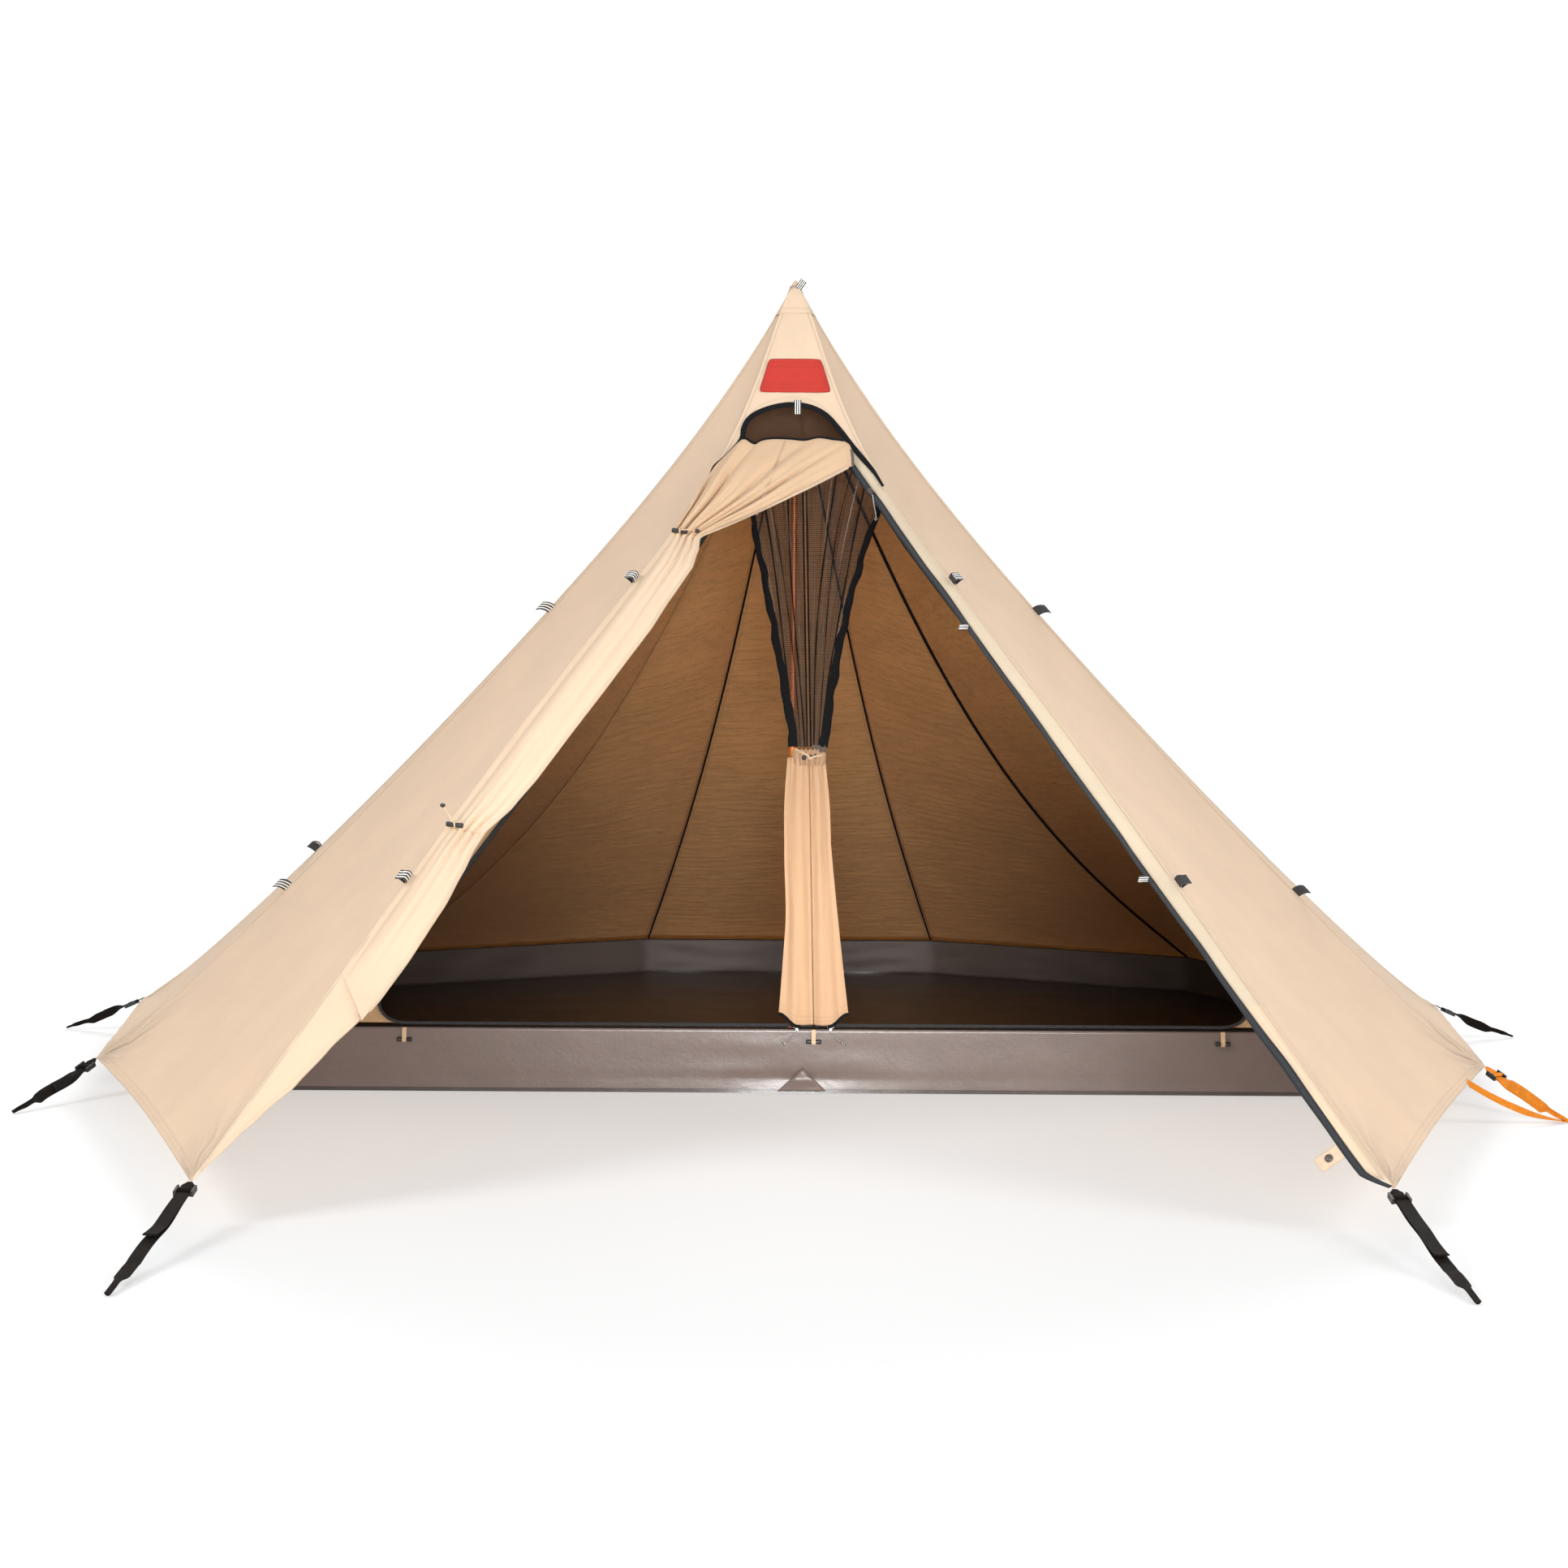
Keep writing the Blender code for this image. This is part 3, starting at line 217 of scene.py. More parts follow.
def stitching(nt, u, v, seams, hem, body, height, colour, dark):
    """Doubled cloth with two stitched rows; map "edge" holds metres to the seam and to the hem."""
    edge = node(nt, "SeparateXYZ", node(nt, "UVMap", uv_map="edge").outputs[0])
    lines = None
    for at, run, used, rows in ((edge.outputs[0], v, seams, SEAM_ROWS), (edge.outputs[1], u, hem, HEM_ROWS)):
        if not used:
            continue
        dash = math(nt, "GREATER_THAN", waves(nt, run, STITCH), -0.55)
        for row in rows:
            stitch = math(nt, "MULTIPLY", math(nt, "COMPARE", at, row, 0.0007), dash)
            lines = stitch if lines is None else math(nt, "MAXIMUM", lines, stitch)
        # Painted shade: the dark line right at the seam or the hem's edge stands for shadow in its groove;
        # the dashed rows are thread.
        lines = math(nt, "MAXIMUM", lines, grade(nt, at, 0.0, 0.0035, 1.0, 0.0))
        doubled = grade(nt, at, rows[1] + 0.0015, rows[1] + 0.004, 1.0, 0.0)
        height = math(nt, "MULTIPLY_ADD", doubled, 0.0008, height)
        body = mix(nt, math(nt, "MULTIPLY", doubled, 0.10), body, tint(colour, 0.80))
    body = mix(nt, math(nt, "MULTIPLY", lines, dark), body, tint(colour, 0.55))
    return body, math(nt, "MULTIPLY_ADD", lines, -0.0006, height)


def cotton(name, colour, see_through=0.0, mottle=0.10, seams=True, hem=True, creases=0.4, dark=0.45,
           pull=False, fine=(9.0, 26.0), painted_shade=0.0):
    """Woven cotton: threads, slubs, creases, stitched seam and hem lines where the maps place them.

    Map "cut" holds metres across and along the cut piece. With painted_shade, the cloth gets painted
    shade: darker low down and far from the middle, and in thin lines along its creases.
    """
    rough = 0.92
    mat, nt, shader = start(name, rough, sheen=0.08)
    cut = node(nt, "UVMap", uv_map="cut").outputs[0]
    u, v = cut_map(nt)
    threads = weave_height(nt, u, v, 0.0016)
    slubs = math(nt, "ADD", stretched_noise(nt, cut, (900.0, 22.0, 1.0), 1.0),
                 stretched_noise(nt, cut, (22.0, 900.0, 1.0), 1.0))
    cloud = noise_of(nt, cut, 5.0, 4.0, 0.6)
    crumple = stretched_noise(nt, cut, (*fine, 1.0), 5.0, 0.55, 0.35)
    body = mix(nt, grade(nt, cloud, 0.3, 0.7), tint(colour, 1 - mottle), tint(colour, 1 + mottle * 0.5))
    body = mix(nt, math(nt, "MULTIPLY", grade(nt, slubs, 0.8, 1.25), 0.10), body, tint(colour, 0.72))
    # Painted shade on the inner walls: darker low down and far from the middle, and thin dark lines along the
    # creases.
    if painted_shade:
        where = node(nt, "SeparateXYZ", node(nt, "TexCoord").outputs["Object"])
        aside = grade(nt, math(nt, "ABSOLUTE", where.outputs[0]), 0.25, 1.0)
        low = grade(nt, where.outputs[2], 0.1, 1.1, 1.0, 0.0)
        both = math(nt, "MULTIPLY_ADD", low, 0.5, math(nt, "MULTIPLY", aside, 0.6))
        body = mix(nt, math(nt, "MULTIPLY", both, painted_shade), body, tint(colour, 0.4))
        line = math(nt, "ABSOLUTE", math(nt, "SUBTRACT", crumple, 0.5))
        body = mix(nt, grade(nt, line, 0.0, 0.03, 0.26, 0.0), body, tint(colour, 0.4))
    height = math(nt, "MULTIPLY_ADD", threads, 0.00012, math(nt, "MULTIPLY", slubs, 0.00012))
    height = math(nt, "MULTIPLY_ADD", crumple, 0.004 * creases, height)
    if pull:
        body, height = pull_folds(nt, cut, body, height, tint(colour, 0.62))
    if seams or hem:
        body, height = stitching(nt, u, v, seams, hem, body, height, colour, dark)
    paint(nt, shader, "Base Color", body)
    bump = relief(nt, shader, height, 0.6)
    paint(nt, shader, "Roughness", math(nt, "MULTIPLY_ADD", threads, 0.06, rough - 0.03))
    if see_through:
        glow = node(nt, "BsdfTranslucent", body)
        nt.links.new(bump.outputs[0], glow.inputs["Normal"])
        both = node(nt, "MixShader", see_through, shader.outputs[0], glow.outputs[0])
        nt.links.new(both.outputs[0], nt.nodes["Material Output"].inputs[0])
    return mat


def coated_cloth(name, colour, rough=0.27):
    """Coated floor cloth: a fine ripstop grid, scuffs and a soft shine."""
    mat, nt, shader = start(name, 0.4)
    where = node(nt, "TexCoord").outputs["Object"]
    grid = [math(nt, "PINGPONG", run, 0.0025) for run in cut_map(nt)]
    rip = math(nt, "LESS_THAN", math(nt, "MINIMUM", *grid), 0.0004)
    scuff = noise_of(nt, where, 6.0, 6.0, 0.7)
    fine = noise_of(nt, where, 90.0, 2.0)
    base = mix(nt, grade(nt, scuff, 0.35, 0.75), tint(colour, 0.94), tint(colour, 1.08))
    base = mix(nt, math(nt, "MULTIPLY", rip, 0.05), base, tint(colour, 1.8))
    paint(nt, shader, "Base Color", base)
    paint(nt, shader, "Roughness", math(nt, "MULTIPLY_ADD", scuff, 0.10, rough))
    height = math(nt, "MULTIPLY_ADD", rip, 0.0001, math(nt, "MULTIPLY", scuff, 0.0035))
    relief(nt, shader, math(nt, "MULTIPLY_ADD", fine, 0.0004, height), 0.5)
    return mat


def webbing_cloth(name, colour, rib=0.0016):
    """Woven webbing with ribs across it; map "cut" in metres."""
    mat, nt, shader = start(name, 0.8, shine=0.04)
    u, v = cut_map(nt)
    both = math(nt, "MULTIPLY_ADD", waves(nt, u, 0.0022), 0.5, waves(nt, v, rib))
    fuzz = noise_of(nt, node(nt, "TexCoord").outputs["Object"], 120.0, 3.0)
    base = mix(nt, grade(nt, both, -1.2, 1.2), tint(colour, 0.55), tint(colour, 1.35))
    base = mix(nt, grade(nt, fuzz, 0.5, 0.9), base, tint(colour, 1.4))
    paint(nt, shader, "Base Color", base)
    relief(nt, shader, math(nt, "MULTIPLY", both, 0.0003), 0.7)
    paint(nt, shader, "Roughness", math(nt, "MULTIPLY_ADD", fuzz, 0.2, 0.6))
    return mat


def striped_tape(name, stripes):
    """Woven tape, black with lengthwise pale stripes; map "cut" runs 0 to 1 across it."""
    mat, nt, shader = start(name, 0.75)
    u, v = cut_map(nt)
    white = None
    for low, high in stripes:
        band = math(nt, "MULTIPLY", math(nt, "GREATER_THAN", u, low), math(nt, "LESS_THAN", u, high))
        white = band if white is None else math(nt, "MAXIMUM", white, band)
    ribs = waves(nt, v, 0.0013)
    base = mix(nt, white, (0.018, 0.017, 0.017), (0.86, 0.85, 0.82))
    base = mix(nt, math(nt, "MULTIPLY", grade(nt, ribs, -1.0, 1.0), 0.2), base, (0.10, 0.10, 0.10))
    paint(nt, shader, "Base Color", base)
    relief(nt, shader, math(nt, "MULTIPLY", ribs, 0.0002), 0.5)
    return mat


def zip_cloth(name):
    """Zip tape with its coil in the middle; map "cut" holds metres across from the middle, and along."""
    mat, nt, shader = start(name, 0.6, shine=0.2)
    u, v = cut_map(nt)
    middle = math(nt, "LESS_THAN", math(nt, "ABSOLUTE", u), 0.0032)
    teeth = waves(nt, v, 0.0018)
    twill = waves(nt, math(nt, "ADD", u, v), 0.0014)
    coil = mix(nt, grade(nt, teeth, -0.6, 0.6), (0.012, 0.013, 0.015), (0.075, 0.080, 0.088))
    tape = mix(nt, grade(nt, twill, -1.0, 1.0), (0.016, 0.018, 0.021), (0.030, 0.034, 0.038))
    paint(nt, shader, "Base Color", mix(nt, middle, tape, coil))
    height = math(nt, "MULTIPLY_ADD", math(nt, "MULTIPLY", teeth, middle), 0.0006,
                  math(nt, "MULTIPLY", middle, 0.0010))
    relief(nt, shader, math(nt, "MULTIPLY_ADD", twill, 0.00015, height), 0.8)
    paint(nt, shader, "Roughness", math(nt, "MULTIPLY_ADD", middle, -0.25, 0.72))
    return mat


def netting(name):
    """Fine black netting: thread and hole, closer together where it lies in folds, with painted highlight
    streaks along the folds.
    """
    mat, nt, shader = start(name, 0.65, sheen=0.3)
    threads = [math(nt, "PINGPONG", run, 0.0022) for run in cut_map(nt)]
    hole = math(nt, "GREATER_THAN", math(nt, "MINIMUM", *threads), 0.00042)
    cut = node(nt, "UVMap", uv_map="cut").outputs[0]
    folds = stretched_noise(nt, cut, (52.0, 1.6, 1.0), 3.0, 0.55)
    # Painted highlight: pale streaks where the folds' ridges catch the light.
    base = mix(nt, grade(nt, folds, 0.60, 0.74), (0.012, 0.010, 0.009), (0.42, 0.38, 0.34))
    paint(nt, shader, "Base Color", base)
    thick = math(nt, "ABSOLUTE", math(nt, "SUBTRACT", folds, 0.5))
    clear = math(nt, "MULTIPLY", hole, grade(nt, thick, 0.02, 0.16, 0.72, 0.25))
    paint(nt, shader, "Alpha", math(nt, "SUBTRACT", 1.0, clear))
    return mat


def moulded(name, colour, rough=0.42):
    """Moulded plastic or rubber: fine grain, with paler worn spots."""
    mat, nt, shader = start(name, rough)
    where = node(nt, "TexCoord").outputs["Object"]
    wear = noise_of(nt, where, 45.0, 5.0, 0.65)
    paint(nt, shader, "Base Color", mix(nt, grade(nt, wear, 0.5, 0.8), colour, tint(colour, 2.2)))
    paint(nt, shader, "Roughness", math(nt, "MULTIPLY_ADD", wear, 0.3, rough - 0.12))
    relief(nt, shader, math(nt, "MULTIPLY", noise_of(nt, where, 900.0, 2.0), 0.0002), 0.3)
    return mat


def anodised(name, colour):
    """Anodised tube: drawn lines along it and darker scratches."""
    mat, nt, shader = start(name, 0.32, metallic=0.55)
    where = node(nt, "TexCoord").outputs["Object"]
    lines = stretched_noise(nt, where, (900.0, 900.0, 3.0), 2.0)
    marks = noise_of(nt, where, 60.0, 6.0, 0.75)
    base = mix(nt, grade(nt, marks, 0.62, 0.78), colour, tint(colour, 0.6))
    base = mix(nt, math(nt, "MULTIPLY", lines, 0.25), base, (1.0, 0.55, 0.25))
    paint(nt, shader, "Base Color", base)
    paint(nt, shader, "Roughness", math(nt, "MULTIPLY_ADD", lines, 0.25, 0.2))
    return mat


def dotted(name):
    """Black cord with pale flecks; map "cut" in metres."""
    mat, nt, shader = start(name, 0.7)
    u, v = cut_map(nt)
    run = math(nt, "PINGPONG", math(nt, "ADD", v, math(nt, "MULTIPLY", u, 0.5)), 0.0022)
    fleck = math(nt, "GREATER_THAN", run, 0.0014)
    paint(nt, shader, "Base Color", mix(nt, fleck, (0.02, 0.02, 0.02), (0.70, 0.69, 0.66)))
    relief(nt, shader, math(nt, "MULTIPLY", run, 0.1), 0.5)
    return mat


SAND = (0.865, 0.70, 0.53)
INNER = (0.86, 0.62, 0.32)
FLY = cotton("sand_cotton", SAND, see_through=0.36, mottle=0.035, creases=0.10, dark=0.26, pull=True)
FLY_SOFT = cotton("sand_cotton_soft", (0.79, 0.61, 0.435), 0.15, 0.03, creases=0.06, dark=0.25)
# Painted shade: a darker copy of the door's cloth for the gathered drape above the upper tie.
FLY_DRAPE_SHADED = cotton("sand_cotton_drape_painted_shade", (0.70, 0.49, 0.315), 0.15, 0.03, creases=0.10, dark=0.30)
# Painted shade: a darker copy of the sand cloth for the placket, which lies in the shade of the fly's edge.
PLACKET_SHADED = cotton("placket_painted_shade", (0.68, 0.57, 0.425), 0.2, 0.03, seams=False, hem=False, creases=0.06)
# The inner walls' cloth carries painted shade: darker low down, at the sides and along its creases.
INNER_CLOTH = cotton("inner_cotton", INNER, 0.62, 0.05, creases=2.2, dark=0.4, fine=(11.0, 48.0), painted_shade=0.6)
# Painted shade: a dark brown copy of the inner cloth for the inner fronts' upper part, seen through the vent.
INNER_SHADE = cotton("inner_cotton_top", (0.10, 0.055, 0.03), mottle=0.2, creases=0.8, seams=False, hem=False)
INNER_SAND = cotton("inner_front_cotton", (0.62, 0.42, 0.235), 0.25, 0.05, creases=0.6, dark=0.4)
DOOR_CLOTH = cotton("inner_door_cotton", (0.585, 0.37, 0.22), 0.06, 0.03, seams=False, creases=0.25)
RED = cotton("red_cotton", (0.50, 0.030, 0.018), creases=0.2, dark=0.55)
TUB = coated_cloth("coated_floor", (0.150, 0.112, 0.097))
# Painted shade: darker copies of the same coated cloth for the tub's floor and its back walls.
TUB_FLOOR_SHADED = coated_cloth("coated_floor_inside_painted_shade", (0.050, 0.036, 0.030))
TUB_BACK_SHADED = coated_cloth("coated_floor_back_painted_shade", (0.072, 0.052, 0.043), 0.55)
NET = netting("black_netting")
NET_FOLD = webbing_cloth("net_fold", (0.016, 0.012, 0.010), 0.0012)
ZIP = zip_cloth("zip_tape")
BINDING = webbing_cloth("black_binding", (0.012, 0.0125, 0.014), 0.0012)
WEB = webbing_cloth("black_webbing", (0.010, 0.0075, 0.006))
WEB_ORANGE = webbing_cloth("orange_webbing", (0.82, 0.26, 0.025))
SAND_TAPE = webbing_cloth("sand_tape", (0.74, 0.55, 0.36), 0.0012)
STRIPED = striped_tape("striped_tape", ((0.12, 0.25), (0.41, 0.54), (0.70, 0.83)))
PLASTIC = moulded("black_plastic", (0.014, 0.013, 0.013))
RUBBER = moulded("foot_rubber", (0.028, 0.027, 0.026), 0.75)
SLIDER = moulded("slider_metal", (0.70, 0.68, 0.63), 0.35)
DARK_METAL = moulded("stud_metal", (0.06, 0.045, 0.035), 0.35)
TUBE = anodised("orange_tube", (0.85, 0.22, 0.03))
GREY = webbing_cloth("grey_band", (0.15, 0.125, 0.105), 0.0012)
DOTTED = dotted("dotted_cord")


# Mesh helpers
def in_scene(ob):
    bpy.context.scene.collection.objects.link(ob)
    return ob


def finish_mesh(name, mesh, mat, body="tent", thick=0.0, offset=1.0, angle=50):
    mesh.materials.append(mat)
    ob = in_scene(bpy.data.objects.new(name, mesh))
    mesh.shade_smooth()
    mesh.set_sharp_from_angle(angle=radians(angle))
    if thick:
        solid = ob.modifiers.new("cloth", "SOLIDIFY")
        solid.thickness = thick
        solid.offset = offset
    if body:
        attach(ob, body)
    return ob


def blank_grid(rows, columns):
    """Empty points, cut map and edge map."""
    shape = (rows + 1, columns + 1)
    return np.zeros((*shape, 3)), np.zeros((*shape, 2)), np.zeros((*shape, 2))


def arc_lengths(points):
    """Metres across and along a grid of points, from its first column and row."""
    across, along = np.zeros(points.shape[:2]), np.zeros(points.shape[:2])
    across[:, 1:] = np.cumsum(np.linalg.norm(np.diff(points, axis=1), axis=2), axis=1)
    along[1:] = np.cumsum(np.linalg.norm(np.diff(points, axis=0), axis=2), axis=0)
    return across, along


def outward_normals(points):
    """Unit normals of a grid of points, away from the pole."""
    normals = np.cross(np.gradient(points, axis=0), np.gradient(points, axis=1))
    normals = normals / np.maximum(np.linalg.norm(normals, axis=2, keepdims=True), 1e-9)
    if (normals * from_pole(points.reshape(-1, 3)).reshape(points.shape)).sum() < 0:
        normals = -normals
    return normals


def add_map(mesh, label, values):
    """One more UV map, from a value pair per vertex."""
    layer = mesh.uv_layers.new(name=label)
    index = np.zeros(len(mesh.loops), np.int32)
    mesh.loops.foreach_get("vertex_index", index)
    layer.data.foreach_set("uv", np.asarray(values, np.float32).reshape(-1, 2)[index].ravel())


def grid_mesh(name, points, cut=None, edge=None, toward=None, loop=False):
    """A quad mesh over a grid of points with up to two UV maps, facing `toward`."""
    points = np.asarray(points, float)
    rows, columns = points.shape[:2]
    faces = []
    last = columns if loop else columns - 1
    for i in range(rows - 1):
        for k in range(last):
            n = (k + 1) % columns
            faces.append((i * columns + k, i * columns + n, (i + 1) * columns + n, (i + 1) * columns + k))
    faces = np.array(faces)
    if toward is not None:
        a, b, c = (points.reshape(-1, 3)[faces[:, k]] for k in range(3))
        normal = np.cross(b - a, c - a)
        if float((normal * toward(a)).sum()) < 0:
            faces = faces[:, ::-1]
    mesh = bpy.data.meshes.new(name)
    mesh.from_pydata(points.reshape(-1, 3).tolist(), [], faces.tolist())
    corner = faces.reshape(-1)
    if cut is None:
        cut = np.stack(arc_lengths(points), axis=2)
    for label, values in (("cut", cut), ("edge", edge)):
        if values is None:
            continue
        layer = mesh.uv_layers.new(name=label)
        layer.data.foreach_set("uv", np.asarray(values, np.float32).reshape(-1, 2)[corner].ravel())
    mesh.update()
    return mesh


def grid_sizes(points):
    """Widest arc across, longest arc along, and area of a grid of points."""
    across = np.linalg.norm(np.diff(points, axis=1), axis=2).sum(axis=1).max()
    along = np.linalg.norm(np.diff(points, axis=0), axis=2).sum(axis=0).max()
    a, b, c, d = points[:-1, :-1], points[:-1, 1:], points[1:, 1:], points[1:, :-1]
    twice = np.linalg.norm(np.cross(b - a, c - a), axis=2) + np.linalg.norm(np.cross(c - a, d - a), axis=2)
    return float(across), float(along), float(twice.sum() / 2)


def from_bm(name, bm):
    """A new mesh from a bmesh, which is freed."""
    mesh = bpy.data.meshes.new(name)
    bm.to_mesh(mesh)
    bm.free()
    return mesh


def closed_mesh(name, rows, cut):
    """A mesh over rings of points, with both its ends filled."""
    mesh = grid_mesh(name, rows, np.array(cut), loop=True)
    bm = bmesh.new()
    bm.from_mesh(mesh)
    bmesh.ops.holes_fill(bm, edges=[e for e in bm.edges if e.is_boundary], sides=0)
    bmesh.ops.recalc_face_normals(bm, faces=bm.faces)
    bm.to_mesh(mesh)
    bm.free()
    return mesh


def direction(path, k):
    """Unit direction of a path at its point k."""
    return (path[min(k + 1, len(path) - 1)] - path[max(k - 1, 0)]).normalized()


def turned(a, b, angle):
    """The sum of two vectors that a turn by the angle gives."""
    return a * cos(angle) + b * sin(angle)


def cloth(name, points, mat, replaced=(), toward=None, cut=None, edge=None, thick=0.0012,
          body="tent", angle=50):
    """A sheet of cloth over a grid of points; it hides the CAD parts it replaces."""
    points = np.asarray(points, float)
    mesh = grid_mesh(name, points, cut, edge, toward)
    ob = finish_mesh(name, mesh, mat, body, thick, angle=angle)
    if replaced:
        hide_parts(*replaced)
    width, length, area = grid_sizes(points)
    width = min(width, area / (0.31 * length))
    return ob


def ribbon(name, centre, across, normal, width, thick, mat, body="tent", bulge=0.0, steps=4, replaced=()):
    """A tape along a line of points: across and normal are unit vectors at each point."""
    rows = []
    cut = []
    run = 0.0
    for i, p in enumerate(centre):
        if i:
            run += (Vector(centre[i]) - Vector(centre[i - 1])).length
        top, low, top_uv = [], [], []
        for k in range(steps + 1):
            share = k / steps - 0.5
            rise = bulge * (1 - (2 * share) ** 2)
            wide = width[i] if isinstance(width, list) else width
            base = Vector(p) + Vector(across[i]) * share * wide
            top.append(base + Vector(normal[i]) * (thick + rise))
            low.append(base + Vector(normal[i]) * rise * 0.5)
            top_uv.append((share * wide, run))
        rows.append(top + low[::-1])
        cut.append(top_uv + top_uv[::-1])
    mesh = closed_mesh(name, rows, cut)
    ob = finish_mesh(name, mesh, mat, body, angle=35)
    if replaced:
        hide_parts(*replaced)
    return ob


def tube(name, points, radius, mat, body="tent", sides=8, ends=1.0):
    """A round cord or piping along points, as a mesh with maps."""
    points = [Vector(p) for p in points]
    rows, cut = [], []
    run = 0.0
    side = None
    for i, p in enumerate(points):
        ahead = direction(points, i)
        if side is None:
            side = ahead.orthogonal().normalized()
        side = (side - ahead * side.dot(ahead)).normalized()
        other = ahead.cross(side)
        if i:
            run += (p - points[i - 1]).length
        r = radius if 0 < i < len(points) - 1 else radius * ends
        rows.append([p + turned(side, other, 2 * pi * k / sides) * r for k in range(sides)])
        cut.append([(k / sides * 2 * pi * radius, run) for k in range(sides)])
    return finish_mesh(name, closed_mesh(name, rows, cut), mat, body, angle=60)


def smooth_path(points, steps=8):
    """Points along a smooth curve through the given ones."""
    points = [Vector(p) for p in points]
    out = []
    for i in range(len(points) - 1):
        p0 = points[max(i - 1, 0)]
        p1, p2 = points[i], points[i + 1]
        p3 = points[min(i + 2, len(points) - 1)]
        for k in range(steps):
            t = k / steps
            out.append(0.5 * ((2 * p1) + (p2 - p0) * t + (2 * p0 - 5 * p1 + 4 * p2 - p3) * t * t
                              + (3 * p1 - p0 - 3 * p2 + p3) * t ** 3))
    out.append(points[-1])
    return out


# The plan's seams
def front_plane_y(height):
    share = min(max((INNER_APEX - height) / (INNER_APEX - FRONT_WALL_HEIGHT), 0.0), 1.0)
    top = -(INNER_RING + 0.002)
    return top + (FRONT_WALL_Y - top) * share


class Seam:
    """A seam from the ring round the pole to a corner: t runs from 0 at the top to 1 at the corner."""

    def __init__(self, corner, top, foot, bow, neck=0.0, ring=APEX_RING, front_plane=False, power=0.6):
        self.corner = Vector(corner)
        self.reach = self.corner.length
        self.heading = self.corner / self.reach
        self.top, self.foot, self.bow, self.neck = top, foot, bow, neck
        self.ring, self.front_plane, self.power = ring, front_plane, power

    def at(self, t):
        t = min(max(t, 0.0), 1.0)
        sag = 0.0
        if 0 < t < 1:
            bulge = t / NECK_PLACE * exp(1 - t / NECK_PLACE)
            sag = self.bow * sin(pi * t) ** self.power + self.neck * bulge ** 2 * (1 - t ** 4)
        run = self.reach - self.ring
        fall = self.foot - self.top
        length = hypot(run, fall)
        radius = max(self.ring + run * t + sag * fall / length, self.ring)
        height = self.top + fall * t - sag * run / length
        x, y = self.heading.x * radius, self.heading.y * radius
        if self.front_plane:
            x = (self.corner.x / abs(self.corner.x)) * sqrt(max(radius ** 2 - y ** 2, 0.0))
            y = front_plane_y(height)
        return Vector((x, y, height))

    def ahead(self, t):
        return (self.at(min(t + 0.01, 1.0)) - self.at(max(t - 0.01, 0.0))).normalized()

    def t_at_height(self, height):
        low, high = 0.0, 1.0
        for _ in range(40):
            mid = (low + high) / 2
            if self.at(mid).z > height:
                low = mid
            else:
                high = mid
        return (low + high) / 2

    def at_height(self, height):
        return self.at(self.t_at_height(height))


FLY_SEAM = {(p, s): Seam((x * s, y), APEX_HEIGHT, CORNER_HEIGHT, *FLY_BOW[p])
            for p, (x, y) in FLY_PLAN.items() for s in (-1, 1)}


def inner_corner(place, side):
    x, y = FLY_PLAN[place]
    scale = 1 - INNER_INSET / hypot(x, y)
    return (side * x * scale, FRONT_WALL_Y if place == "mid" else y * scale)


INNER_SEAM = {(p, s): Seam(inner_corner(p, s), INNER_APEX,
                           (FRONT_WALL_HEIGHT if p == "mid" else BACK_WALL_HEIGHT) + 0.0003,
                           INNER_BOW[p], 0.0, INNER_RING, p == "mid", 1.0)
              for p in INNER_BOW for s in (-1, 1)}


def from_pole(a):
    return np.stack([a[:, 0], a[:, 1], 0.4 * np.hypot(a[:, 0], a[:, 1])], axis=1)


def to_front(a):
    return np.tile([0.0, -1.0, 0.15], (len(a), 1))


def wrinkle(p, scale, seed=0.0):
    return noise.noise(Vector((p[0] * scale + seed, p[1] * scale, p[2] * scale - seed)))


def panel_grid(first, second, rise, sag, rows, columns, power=1.25, hold=HEM_HOLD, dense=False):
    """Points of a panel between two seams, and the maps of its cut and edges.

    A dense grid has its rows closer together near the hem and its columns near the seams.
    """
    chord = (first.at(1.0) - first.at(0.0)).length
    points, cut, edge = blank_grid(rows, columns)
    for i in range(rows + 1):
        share = 1 - (1 - i / rows) ** 1.5 if dense else (i / rows) ** power
        for k in range(columns + 1):
            s = (1 - cos(pi * k / columns)) / 2 if dense else k / columns
            end = 1.0 - rise / chord * sin(pi * s) ** 0.8 if rise else 1.0
            t = end * share
            a, b = first.at(t), second.at(t)
            width = (b - a).length
            place = a.lerp(b, s)
            inward = Vector((-place.x, -place.y, 0))
            if inward.length > 1e-6:
                inward.normalize()
            points[i, k] = place + inward * sag * width * sin(pi * s) * (1 - hold * share ** 4)
            cut[i, k] = ((s - 0.5) * width, t * chord)
            edge[i, k] = (min(s, 1 - s) * width, (end - t) * chord)
    return points, cut, edge


def straighten_hem(points, first, second, rise, inset):
    """Pulls a panel's hem close to the line between its corners."""
    a, b = first.at(1.0), second.at(1.0)
    rows, columns = points.shape[:2]
    for k in range(columns):
        last = Vector(points[-1, k])
        s = min(max((last - a).dot(b - a) / (b - a).length_squared, 0.0), 1.0)
        want = a.lerp(b, s)
        inward = Vector((-want.x, -want.y, 0)).normalized()
        want += Vector((0, 0, rise * sin(pi * s))) + inward * inset * sin(pi * s)
        delta = np.array(want - last)
        share = np.linspace(0, 1, rows) ** 5
        points[:, k] += share[:, None] * delta
    return points


FLY_ROWS, FLY_COLUMNS = 120, 84
HEM_LIFT, HEM_INSET = 0.008, 0.007
CORNER_FOLDS = 9
FOLD_DEPTH, FOLD_REACH = 0.0045, 0.20
PULL_FAR = 9.0


